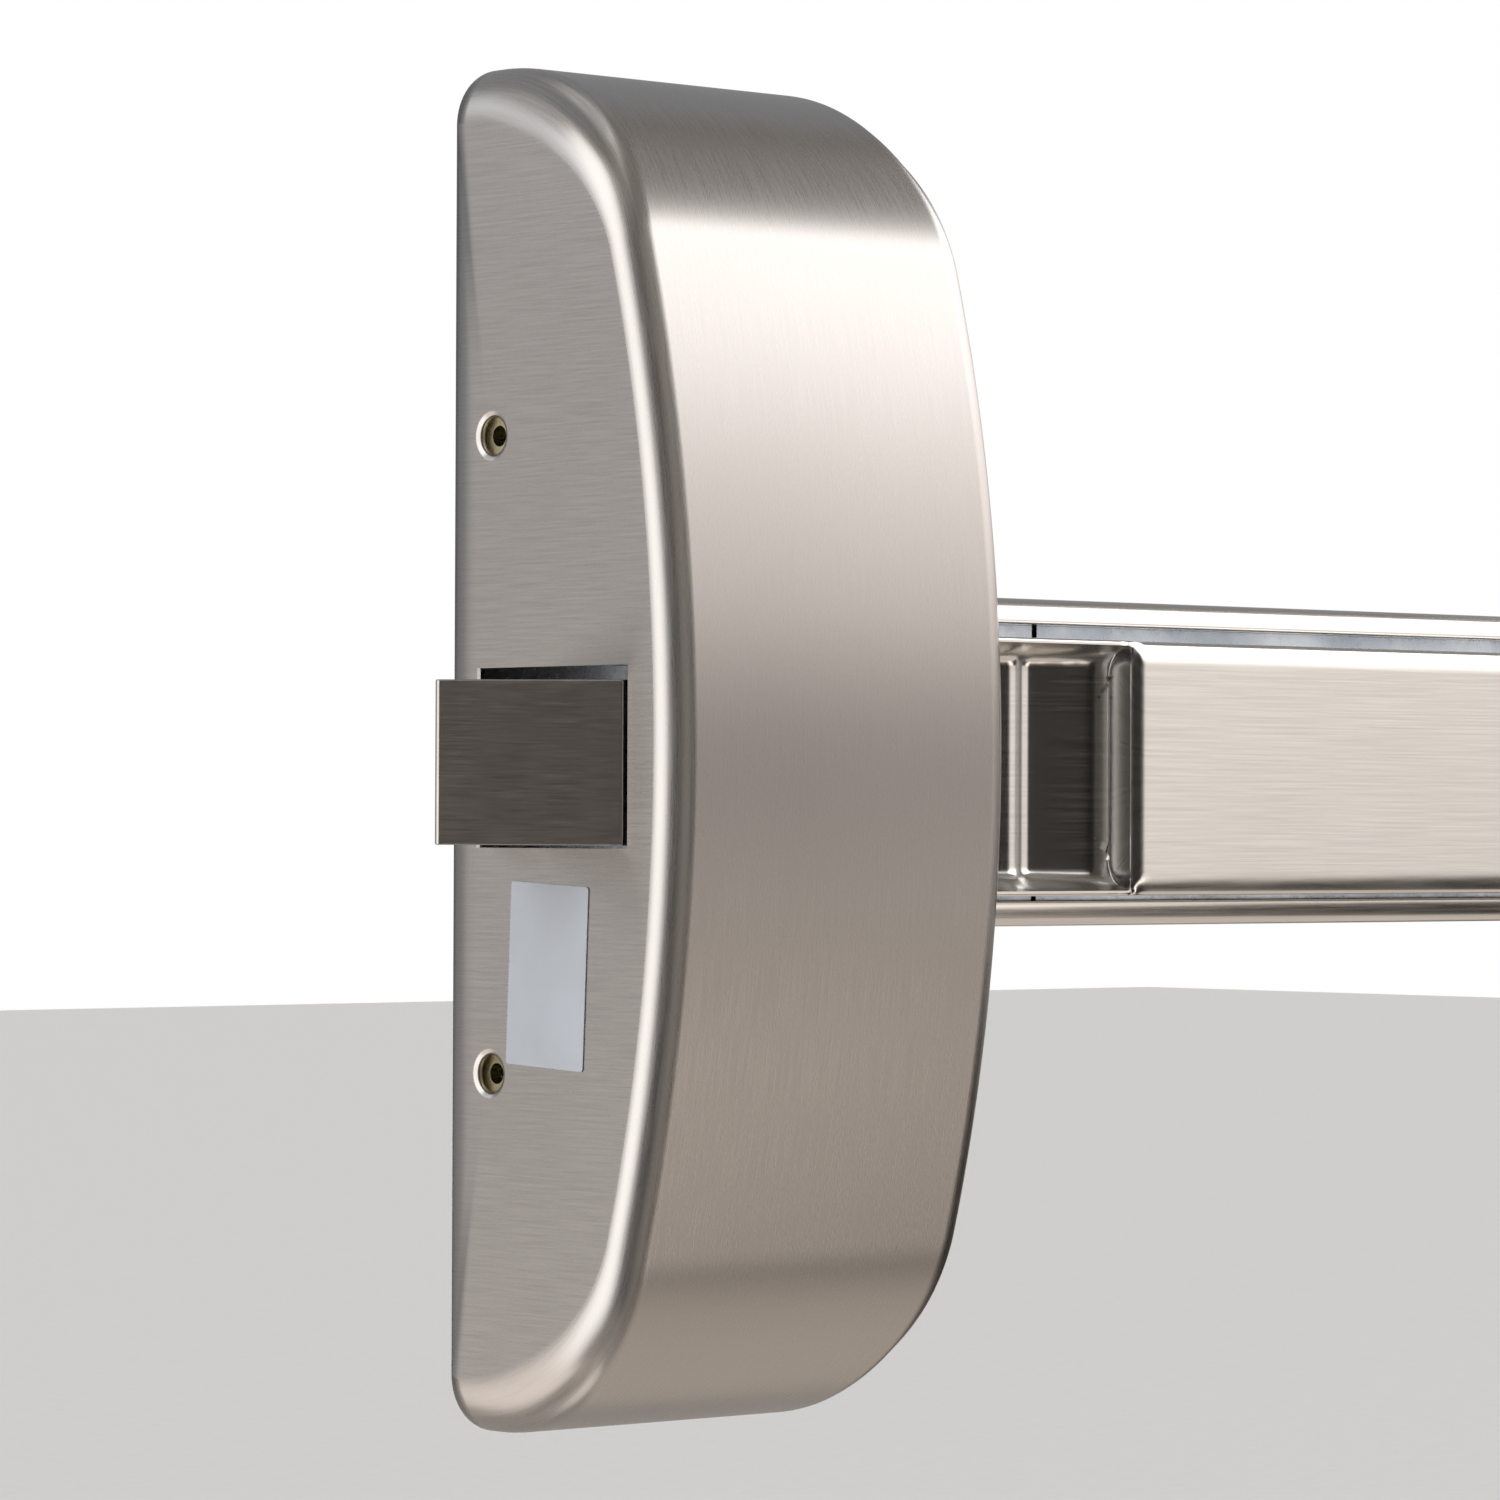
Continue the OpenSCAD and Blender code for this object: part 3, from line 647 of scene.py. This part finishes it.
@dataclass
class HeadCover:
    """The drawn sheet cover of the latch head: a D outline with rounded edges all round."""

    sheet_mm: float = 1.5
    front_r: float = mm(290)
    corner_r: float = mm(41)
    front_round: float = mm(5.0)
    wall_round: float = mm(9.5)
    round_turns: tuple[float, float] = (8.0, 72.0)
    round_steps: int = 18
    front_points: int = 12
    notch_points: int = 11
    corner_points: int = 34
    slot_d: tuple[float, float] = (mm(5.6), mm(42))
    slot_half: float = mm(14.1)
    hole_z: tuple[float, float] = (mm(50.5), mm(-49.5))
    hole_d: float = mm(9)
    hole_r: float = mm(3)
    dimple_r: float = mm(4.0)
    dimple_deep: float = mm(0.5)
    hole_sides: int = 40
    notch_half: float = mm(27.25)
    notch_turn: float = 45.0
    pinch_deg: float = 56.0
    pinch_half_deg: float = 17.0
    pinch_lift: float = 60.0
    pinch_wide: float = 11.0
    pinch_deep: float = mm(1.0)
    pinch_low_share: float = 0.5

    def __post_init__(self) -> None:
        """Reads the cover's place from its CAD node."""
        low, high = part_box("head_cover")
        self.left, self.right = low.x, high.x
        self.depth = -low.y
        self.middle_z = (low.z + high.z) / 2
        self.half_h = (high.z - low.z) / 2
        self.corner_z = self.half_h - self.corner_r
        self.front_centre = self.depth - self.front_r
        reach = self.front_r - self.corner_r
        self.corner_d = self.front_centre + math.sqrt(reach ** 2 - self.corner_z ** 2)
        self.swing = math.degrees(math.asin(self.corner_z / reach))
        self.turns = self.list_turns()

    def list_turns(self) -> list[float]:
        """Lists the outline's normals, and notes which columns are beside the rail's notch.

        Returns:
            Degrees off the front, from the bottom wall to the top one.
        """
        notch = [math.degrees(math.asin((side * self.notch_half - self.middle_z) / self.front_r))
                 for side in (-1, 1)]
        front = (spread(-self.swing, notch[0], self.front_points)
                 + spread(*notch, self.notch_points)[1:]
                 + spread(notch[1], self.swing, self.front_points)[1:])
        corner = spread(self.swing, 90.0, self.corner_points)[1:]
        first = len(corner) + self.front_points
        self.notch_columns = (first, first + self.notch_points - 1)
        return [-turn for turn in reversed(corner)] + front + corner

    def edge_round(self, turn: float) -> float:
        """Radius of the rounded edge where the outline has this normal."""
        share = smooth(*self.round_turns, abs(turn))
        return self.front_round + (self.wall_round - self.front_round) * share

    def outline_point(self, turn: float, inset: float) -> tuple[float, float]:
        """A point of the outline.

        Args:
            turn: The outline's normal there, in degrees off the front.
            inset: How far the outline is pulled in.

        Returns:
            Height and depth.
        """
        angle = math.radians(turn)
        if abs(turn) > self.swing:
            centre = (math.copysign(self.corner_z, turn), self.corner_d)
            radius = self.corner_r
        else:
            centre = (0.0, self.front_centre)
            radius = self.front_r
        radius -= inset
        return centre[0] + radius * math.sin(angle), centre[1] + radius * math.cos(angle)

    def section(self, lift: float, side: int) -> list[Vector]:
        """One row of points along the outline.

        Args:
            lift: Angle round the rounded edge: 0 on the flat side, 90 on the front.
            side: -1 at the latch side, 1 at the rail side.

        Returns:
            The points from the bottom back corner to the top back corner.
        """
        points = []
        for turn in [self.turns[0], *self.turns, self.turns[-1]]:
            radius = self.edge_round(turn)
            pinch = (self.pinch_deep * math.exp(-((lift - self.pinch_lift) / self.pinch_wide) ** 2)
                     * math.exp(-((abs(turn) - self.pinch_deg) / self.pinch_half_deg) ** 2))
            pinch *= 1.0 if turn > 0 else self.pinch_low_share
            inset = radius * (1.0 - math.sin(math.radians(lift))) + pinch
            z, d = self.outline_point(turn, inset)
            over = radius * (1.0 - math.cos(math.radians(lift))) + pinch
            x = self.left + over if side < 0 else self.right - over
            points.append(Vector((x, -d, z + self.middle_z)))
        points[0].y = points[-1].y = 0.0
        return points

    def side_loops(self, bm: BMesh) -> list[BMEdge]:
        """Adds the slot and the two dimpled screw holes to the latch side.

        Args:
            bm: The cover so far.

        Returns:
            The edges that bound the flat side's openings.
        """
        edges = []
        corners = [Vector((self.left, -d, side * self.slot_half))
                   for side, d in ((-1, self.slot_d[0]), (-1, self.slot_d[1]),
                                   (1, self.slot_d[1]), (1, self.slot_d[0]))]
        slot = [bm.verts.new(c) for c in corners]
        edges += [bm.edges.new((slot[i], slot[(i + 1) % 4])) for i in range(4)]
        # Radius and depth of each ring, from the dimple's rim to the hole's edge.
        drop = ((self.dimple_r, 0.0), (self.dimple_r - mm(0.25), mm(0.06)),
                (self.hole_r + mm(0.35), self.dimple_deep - mm(0.12)),
                (self.hole_r, self.dimple_deep))
        count = self.hole_sides
        for hole_z in self.hole_z:
            rings = []
            for radius, deep in drop:
                rings.append([bm.verts.new((
                    self.left + deep,
                    -self.hole_d - radius * math.cos(math.tau * i / count),
                    hole_z + radius * math.sin(math.tau * i / count))) for i in range(count)])
            for outer, inner in zip(rings, rings[1:]):
                for i in range(count):
                    j = (i + 1) % count
                    bm.faces.new((outer[i], outer[j], inner[j], inner[i]))
            edges += [bm.edges.get((rings[0][i], rings[0][(i + 1) % count]))
                      for i in range(count)]
        return edges

    def build(self) -> None:
        """Builds the cover and puts it in place."""
        lifts = spread(0, 90, self.round_steps + 1)
        rows = [self.section(lift, -1) for lift in lifts]
        rows += [self.section(lift, 1) for lift in reversed(lifts)]
        columns = len(rows[0]) - 1
        first, last = self.notch_columns
        notch_rows = sum(lift < self.notch_turn for lift in lifts)
        open_from = len(rows) - 1 - notch_rows

        def keep(row: int, column: int) -> bool:
            """Leaves the rail's notch open in the rail side's rounded edge."""
            return not (row >= open_from and first <= column < last)

        bm = sweep_sheet("head_cover", rows, keep)
        bm.verts.ensure_lookup_table()
        width = columns + 1
        grid = [[bm.verts[i * width + j] for j in range(width)] for i in range(len(rows))]
        latch = [bm.edges.get((grid[0][j], grid[0][j + 1])) for j in range(columns)]
        latch.append(bm.edges.new((grid[0][0], grid[0][columns])))
        latch += self.side_loops(bm)
        bmesh.ops.triangle_fill(bm, use_beauty=True, edges=latch)
        for span, inner in ((range(0, first), first), (range(last, columns), last)):
            edge = [grid[-1][j] for j in span] + [grid[-1][span.stop]]
            end = edge[0] if inner == last else edge[-1]
            foot = bm.verts.new((self.right, 0.0, end.co.z))
            ring = [foot, *edge] if inner == last else [*edge, foot]
            bm.faces.new(ring)
        drop_loose(bm)
        face_outwards(bm, Vector(((self.left + self.right) / 2, -self.depth, self.middle_z)),
                      Vector((0, -1, 0)))
        self.brush_sides(bm)
        piece = new_piece("head_cover_sheet", bm)
        thicken(piece, self.sheet_mm, even=False)
        finish_piece(piece, "head_cover", 50.0)

    def brush_sides(self, bm: BMesh) -> None:
        """Turns the grain on the flat sides, which are brushed towards the door.

        Args:
            bm: The cover's sheet.
        """
        layer = bm.loops.layers.uv[GRAIN_UV]
        square_on = 0.995
        for face in bm.faces:
            if abs(face.normal.x) > square_on:
                for loop in face.loops:
                    loop[layer].uv = (loop.vert.co.z, loop.vert.co.y)


@dataclass
class Label:
    """The blank film label below the slot, stuck on slightly askew."""

    tilt_deg: float = 2.5
    corner_r: float = mm(0.5)

    def build(self) -> None:
        """Builds the label with rounded corners inside the CAD node's box."""
        low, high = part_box("rating_label")
        tilt = math.radians(self.tilt_deg)
        wide, tall = high.y - low.y, high.z - low.z
        half_w = (wide - tall * math.tan(tilt)) / 2 * math.cos(tilt)
        half_h = (tall - wide * math.tan(tilt)) / 2 * math.cos(tilt)
        middle = (low + high) / 2
        bm = bmesh.new()
        ring = []
        for a, b, start in ((1, 1, 0), (-1, 1, 90), (-1, -1, 180), (1, -1, 270)):
            for turn in spread(start, start + 90, 5):
                y = a * (half_w - self.corner_r) + self.corner_r * math.cos(math.radians(turn))
                z = b * (half_h - self.corner_r) + self.corner_r * math.sin(math.radians(turn))
                ring.append(bm.verts.new((
                    low.x, middle.y + y * math.cos(tilt) - z * math.sin(tilt),
                    middle.z + y * math.sin(tilt) + z * math.cos(tilt))))
        face = bm.faces.new(ring)
        face.normal_update()
        if face.normal.x > 0:
            face.normal_flip()
        piece = new_piece("rating_label_film", bm)
        thicken(piece, 1000 * (high.x - low.x))
        lay_grain(piece.data, Grain.UPRIGHT)
        finish_piece(piece, "rating_label")


@dataclass
class Coil:
    """A compression spring along X with its end turns closed."""

    node: str
    joint: str
    wire: float
    turns: int
    sides: int = 8
    steps: int = 22

    def build(self) -> None:
        """Sweeps the wire along its helix inside the CAD node's box."""
        low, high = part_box(self.node)
        radius = (high.z - low.z) / 2 - self.wire / 2
        centre = (low + high) / 2
        start, length = low.x + self.wire / 2, high.x - low.x - self.wire
        count = self.turns * self.steps
        bm = bmesh.new()
        rings = []
        for i in range(count + 1):
            share = i / count
            closed = 0.9 / self.turns
            travel = smooth(closed * 0.2, 1 - closed * 0.2, share) * 0.25 + share * 0.75
            angle = math.tau * self.turns * share
            out = Vector((0.0, math.cos(angle), math.sin(angle)))
            spot = Vector((start + length * travel, centre.y, centre.z)) + out * radius
            rings.append([bm.verts.new(
                spot + (out * math.cos(math.tau * k / self.sides)
                        + Vector((1, 0, 0)) * math.sin(math.tau * k / self.sides))
                * self.wire / 2) for k in range(self.sides)])
        for before, after in zip(rings, rings[1:]):
            for k in range(self.sides):
                n = (k + 1) % self.sides
                bm.faces.new((before[k], before[n], after[n], after[k]))
        for end in (rings[0], rings[-1]):
            bm.faces.new(end)
        bmesh.ops.recalc_face_normals(bm, faces=bm.faces)
        piece = new_piece(self.node + "_coil", bm)
        finish_piece(piece, self.node, 60.0)
        length = high.x - low.x
        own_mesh(piece)


@dataclass
class Latch:
    """The bolt, the deadlatch trigger and their two springs."""

    bolt_edge_mm: float = 0.35
    trigger_edge_mm: float = 0.4
    bolt_wire: float = mm(1.0)
    trigger_wire: float = mm(0.5)

    def build(self) -> None:
        """Builds the bolt and the trigger, then their springs."""
        soften("latch_bolt", self.bolt_edge_mm, Grain.ALONG_RAIL, 3)
        soften("deadlatch_trigger", self.trigger_edge_mm, Grain.ALONG_RAIL)
        Coil("bolt_spring", "latch_slide", self.bolt_wire, 7).build()
        Coil("trigger_spring", "trigger_slide", self.trigger_wire, 12).build()


@dataclass
class Rail:
    """The roll formed outer channel, whose front lips are crowned and turned in."""

    sheet_mm: float = 1.5
    lip_h: float = mm(4.25)
    hem_deep: float = mm(3.7)
    lip_fall: float = mm(0.55)
    corner_r: float = mm(2.0)
    inner_r: float = mm(0.6)
    back_r: float = mm(1.2)
    lip_turn: float = 80.0
    crown_power: float = 1.6
    crown_reach: float = 0.9
    corner_start: float = 24.0

    def half_profile(self, half: float, front: float, back: float) -> list[tuple[float, float]]:
        """Height and depth along half the section, from the hem's end to the back.

        Args:
            half: Half the rail's height.
            front: Depth of the lips.
            back: Depth of the rail's back.

        Returns:
            The points, with the height positive.
        """
        inside = half - self.lip_h
        points = [(inside, front - self.hem_deep), (inside, front - self.inner_r - mm(1.2)),
                  (inside, front - self.inner_r)]
        for turn in spread(0, self.lip_turn, 6)[1:]:
            angle = math.radians(turn)
            points.append((inside + self.inner_r * (1 - math.cos(angle)),
                           front - self.inner_r * (1 - math.sin(angle))))
        crown_z = points[-1][0]
        crown_end = half - self.corner_r * self.crown_reach
        for share in spread(0, 1, 7)[1:]:
            points.append((crown_z + (crown_end - crown_z) * share,
                           front - self.lip_fall * share ** self.crown_power))
        end_z, end_d = points[-1]
        start = math.radians(self.corner_start)
        for turn in spread(self.corner_start, 90, 9)[1:]:
            angle = math.radians(turn)
            share = (math.sin(angle) - math.sin(start)) / (1 - math.sin(start))
            fall = (math.cos(start) - math.cos(angle)) / math.cos(start)
            points.append((end_z + (half - end_z) * share, end_d - self.corner_r * fall))
        points += [(half, front - mm(9)), (half, back + mm(8)), (half, back + self.back_r)]
        for turn in spread(0, 90, 5)[1:]:
            angle = math.radians(turn)
            points.append((half - self.back_r * (1 - math.cos(angle)),
                           back + self.back_r * (1 - math.sin(angle))))
        points += [(half * 0.6, back), (half * 0.25, back)]
        return points

    def build(self) -> None:
        """Sweeps the section along the rail and finishes the strips beside it."""
        low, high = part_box("rail_channel")
        middle = (low.z + high.z) / 2
        half = (high.z - low.z) / 2
        upper = self.half_profile(half, -low.y, -high.y)
        section = [(z, d) for z, d in upper] + [(-z, d) for z, d in reversed(upper)]
        stations = spread(low.x, high.x, 9)
        rows = [[Vector((x, -d, z + middle)) for x in stations] for z, d in section]
        bm = sweep_sheet("rail_channel", rows)
        face_outwards(bm, Vector(((low.x + high.x) / 2, (low.y + high.y) / 2, high.z)),
                      Vector((0, 0, 1)))
        piece = new_piece("rail_channel_sheet", bm)
        thicken(piece, self.sheet_mm)
        finish_piece(piece, "rail_channel", 50.0)
        soften("rail_filler", 0.15, Grain.ALONG_RAIL)
        soften("end_cap", 0.35, Grain.UPRIGHT)
        soften("end_cap_screw", 0.15, Grain.UPRIGHT)
        soften("end_bracket", 0.25, Grain.UPRIGHT)


@dataclass
class PushPad:
    """The pad's stainless skin, with a pan pressed into the end next to the head."""

    sheet_mm: float = 0.55
    edge_r: float = mm(1.3)
    edge_turn: float = 27.0
    shoulder_r: float = mm(6.3)
    lip_r: float = mm(0.5)
    lip_flat: float = mm(0.3)
    lip_drop: float = mm(0.45)
    pan_l: float = mm(32.8)
    side_inset: float = mm(3.7)
    wall_inset: float = mm(0.5)
    floor_corner: float = mm(2.4)
    corner_reach: float = mm(4.5)
    brow_r: float = mm(0.6)
    bead_x: float = mm(16.2)
    bead_l: float = mm(3.9)
    bead_drop: float = mm(1.35)
    floor_drop: float = mm(7.9)
    floor_rise: float = 0.15
    crumple: float = mm(0.35)
    hammer: float = mm(0.08)
    pan_rings: int = 11
    face_shares: tuple[float, ...] = (0.0, 0.025, 0.06, 0.11, 0.17, 0.24, 0.34, 0.46, 0.6, 0.8, 1.0)

    def __post_init__(self) -> None:
        """Reads the pad's place from its CAD node."""
        low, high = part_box("push_pad")
        self.left, self.right = low.x, high.x
        self.face = -low.y
        self.flange = -high.y
        self.middle_z = (low.z + high.z) / 2
        self.half = (high.z - low.z) / 2
        self.pan_right = self.left + self.pan_l
        self.inside = self.half - self.lip_r - self.lip_flat
        shares = self.face_shares
        self.heights = [self.inside * (1 - s) for s in shares]
        self.heights += [-z for z in reversed(self.heights[:-1])]

    def floor_depth(self, x: float) -> float:
        """Depth of the pan's floor: a gentle rise, with a low bead near the head."""
        off = x - self.left - self.bead_x
        return (self.face - self.floor_drop + self.floor_rise * off
                + self.bead_drop * smooth(0, self.bead_l, -off))

    def edge_profile(self, plain: float) -> list[tuple[float, float]]:
        """Half the section from the flange to where the face begins.

        Args:
            plain: 0 beside the pan, where the edge is a thin lip, and 1 beyond it.

        Returns:
            Offset from the middle height, and depth.
        """
        radius = self.lip_r + (self.edge_r - self.lip_r) * plain
        turn = math.radians(self.edge_turn) * plain
        shoulder = self.shoulder_r * (1 - math.cos(turn))
        top = self.face - self.lip_drop * (1 - plain)
        centre_z = self.half - radius
        centre_d = top - shoulder - radius * math.cos(turn)
        points = [(self.half, self.flange + (centre_d - self.flange) * s)
                  for s in spread(0, 1, 5)]
        for angle in spread(math.pi / 2, turn, 9)[1:]:
            points.append((centre_z + radius * math.sin(angle),
                           centre_d + radius * math.cos(angle)))
        start_z, start_d = points[-1]
        for share in (0.25, 0.5, 0.75, 1.0):
            angle = turn * (1 - share)
            flat = self.lip_flat * (1 - plain) * share
            points.append((start_z - self.shoulder_r * (math.sin(turn) - math.sin(angle)) - flat,
                           start_d + self.shoulder_r * (math.cos(angle) - math.cos(turn))))
        return points

    def columns(self) -> list[float]:
        """Places along the pad, closest together at the pan's end.

        Returns:
            The places, from the head's end to the far end.
        """
        near = self.pan_right
        places = spread(self.left, near - self.corner_reach, 26)
        places += spread(places[-1], near, 9)[1:]
        self.pan_column = len(places) - 1
        brow = [near + self.brow_r * (1 - math.cos(math.radians(a))) for a in spread(0, 90, 7)]
        places += brow[1:]
        places += [brow[-1] + mm(s) for s in (0.5, 1.1, 1.8, 2.7, 4, 6, 9, 14, 24)]
        return places + spread(places[-1], self.right, 20)[1:]

    def face_depth(self, x: float, off: float, top: float) -> float:
        """Depth of the pad's face, which rolls down into the pan's end.

        Args:
            x: Place along the rail.
            off: Offset from the middle height.
            top: Depth of the face there without the roll.

        Returns:
            The depth.
        """
        fade = smooth(0.0, mm(3.5), self.inside - abs(off))
        drop = (self.brow_r - self.lip_drop) * fade + self.lip_drop
        share = min(1.0, (x - self.pan_right) / self.brow_r)
        rolled = self.face - drop * (1 - math.sqrt(max(0.0, 1 - (1 - share) ** 2)))
        return min(rolled, top) if share < 1 else top

    def shell(self) -> BMesh:
        """Sweeps the flanges, edges and face, and notes the rim of the opening over the pan.

        Returns:
            The sheet, left open over the pan.
        """
        halves = []
        places = self.columns()
        for x in places:
            plain = smooth(self.pan_right - mm(0.6), self.pan_right + mm(3.2), x)
            halves.append((self.edge_profile(plain), self.face - self.lip_drop * (1 - plain)))
        edge = len(halves[0][0])
        rows = []
        for k in range(edge):
            rows.append([Vector((x, -half[k][1], self.middle_z + half[k][0]))
                         for x, (half, _) in zip(places, halves)])
        for z in self.heights[1:-1]:
            row = []
            for x, (half, top) in zip(places, halves):
                off = z / self.inside * half[-1][0]
                row.append(Vector((x, -self.face_depth(x, off, top), self.middle_z + off)))
            rows.append(row)
        for k in reversed(range(edge)):
            rows.append([Vector((x, -half[k][1], self.middle_z - half[k][0]))
                         for x, (half, _) in zip(places, halves)])
        last = len(rows) - edge
        self.rim = ([rows[edge - 1][j] for j in range(self.pan_column + 1)]
                    + [rows[k][self.pan_column] for k in range(edge, last)]
                    + [rows[last][j] for j in reversed(range(self.pan_column + 1))])
        return sweep_sheet("push_pad", rows, lambda k, j: not (
            edge - 1 <= k < last and j < self.pan_column))

    def round_corner(self, x: float, off: float, side: float, wall: float,
                     radius: float) -> tuple[float, float]:
        """Moves a point of the pan's square rim onto a smaller outline with rounded corners.

        Args:
            x: Place along the rail on the rim.
            off: Offset from the middle height on the rim.
            side: How far the long sides are pulled in.
            wall: How far the end is pulled in.
            radius: The outline's corner radius.

        Returns:
            The new place and offset.
        """
        reach = self.corner_reach
        corner_x, corner_z = self.pan_right - wall, self.inside - side
        before = self.pan_right - x
        after = self.inside - abs(off)
        if before >= reach:
            return x, math.copysign(corner_z, off)
        if after >= reach:
            return corner_x, off * (corner_z - reach + side) / (self.inside - reach)
        path = reach - before if after <= 1e-9 else reach + after
        run = reach - radius
        first = run - wall
        arc = radius * math.pi / 2
        at = path / (2 * reach) * (first + arc + run)
        if at <= first:
            return corner_x - radius - first + at, math.copysign(corner_z, off)
        if at >= first + arc:
            return corner_x, math.copysign(corner_z - radius - (at - first - arc), off)
        angle = (at - first) / radius
        return (corner_x - radius + radius * math.sin(angle),
                math.copysign(corner_z - radius + radius * math.cos(angle), off))

    def pan(self, shell: BMesh) -> None:
        """Presses the pan: rings from the rim down to the floor, then the floor itself.

        Args:
            shell: The pad's sheet, which takes the pan.
        """
        rings = []
        for share in spread(0, 1, self.pan_rings):
            angle = math.radians(90 * share)
            inset = 1 - math.cos(angle)
            ring = []
            for point in self.rim:
                off = point.z - self.middle_z
                x, z = self.round_corner(point.x, off, self.side_inset * inset,
                                         self.wall_inset * inset, self.floor_corner * share)
                d = -point.y + (self.floor_depth(x) + point.y) * math.sin(angle)
                ring.append(Vector((x, -d, self.middle_z + z)) if share else point.copy())
            rings.append(ring)
        sweep_sheet("pan_sides", rings, onto=shell, lay=self.pan_grain)
        last = rings[-1]
        top, wall = last[:self.pan_column + 1], last[self.pan_column:-self.pan_column]
        bottom = last[-self.pan_column - 1:][::-1]
        count = len(wall) - 1
        rows = []
        for j in range(count + 1):
            pull = wall[j] - top[-1].lerp(bottom[-1], j / count)
            row = [a.lerp(b, j / count) + pull * (i / self.pan_column) ** 6
                   for i, (a, b) in enumerate(zip(top, bottom))]
            for point in row[:-1]:
                point.y = -self.floor_depth(point.x)
            rows.append(row)
        sweep_sheet("pan_floor", rows, onto=shell, lay=self.pan_grain)

    def pan_grain(self, point: Vector) -> tuple[float, float]:
        """U and V at a point of the pan, as the grain ran along the rail before pressing."""
        over = -point.y - self.floor_depth(point.x)
        off = point.z - self.middle_z
        return off + over * max(-1.0, min(1.0, off / mm(12))), point.x + over

    def dents(self, point: Vector) -> float:
        """How far the skin is pushed out of true at a point.

        Args:
            point: Place on the skin.

        Returns:
            Distance along Y: crumpled metal in the pan's far corners, hammer marks on its edge.
        """
        off_z = point.z - self.middle_z
        near = math.hypot(point.x - self.pan_right, abs(off_z) - self.inside) / mm(2.0)
        fold = noise.noise(point * 900.0) * self.crumple * math.exp(-near * near)
        edge = smooth(self.half - mm(5), self.half - mm(3.4), off_z) * smooth(
            self.half - mm(0.9), self.half - mm(1.8), off_z)
        run = smooth(self.left + mm(14), self.left + mm(20), point.x) * smooth(
            self.pan_right + mm(0.4), self.pan_right - mm(1), point.x)
        tap = noise.noise(Vector((point.x * 750.0, 3.0, point.z * 260.0))) * self.hammer
        return max(0.0, fold) + tap * edge * run

    def build(self) -> None:
        """Builds the skin as one sheet, and thickens it."""
        bm = self.shell()
        self.pan(bm)
        drop_loose(bm)
        bmesh.ops.remove_doubles(bm, verts=bm.verts, dist=1e-7)
        for vert in bm.verts:
            vert.co.y += self.dents(vert.co)
        face_outwards(bm, Vector((self.right - mm(20), -self.face, self.middle_z)),
                      Vector((0, -1, 0)))
        piece = new_piece("push_pad_skin", bm)
        thicken(piece, self.sheet_mm, even=False)
        finish_piece(piece, "push_pad", 60.0)
        soften("pad_end_plug", 0.3, Grain.ALONG_RAIL)


@dataclass
class Linkage:
    """The pieces inside the rail and the head, which keep their CAD shape."""

    softened: dict[str, float] = field(default_factory=lambda: {
        "bell_crank_near": 0.25, "bell_crank_far": 0.25, "latch_case": 0.2, "retractor": 0.2,
        "actuating_rod": 0.2, "pad_carrier": 0.15, "pan_support": 0.15, "head_baseplate": 0.2})
    return_wire: float = mm(0.8)

    def build(self) -> None:
        """Breaks the edges of the pressed pieces, winds the return spring, dresses the rest."""
        for node, radius in self.softened.items():
            soften(node, radius, Grain.ALONG_RAIL)
        Coil("return_spring", "rod_slide", self.return_wire, 18).build()
        dress_rest()


def dress_rest() -> None:
    """Gives every CAD node that is still shown the finish of its slot."""
    for node, piece in frame["nodes"].items():
        if piece.hide_render:
            continue
        piece.data.materials.clear()
        piece.data.materials.append(finish_of(node))
        LOG.info("%s keeps its CAD shape", node)


def main() -> None:
    """Builds the studio, the finishes and each sub-assembly in order."""
    logging.basicConfig(level=logging.INFO, format="%(message)s")
    Studio().build()
    for finish in FINISHES:
        finish.build()
    HeadCover().build()
    Label().build()
    Latch().build()
    Rail().build()
    PushPad().build()
    Linkage().build()


if __name__ == "__main__":
    main()
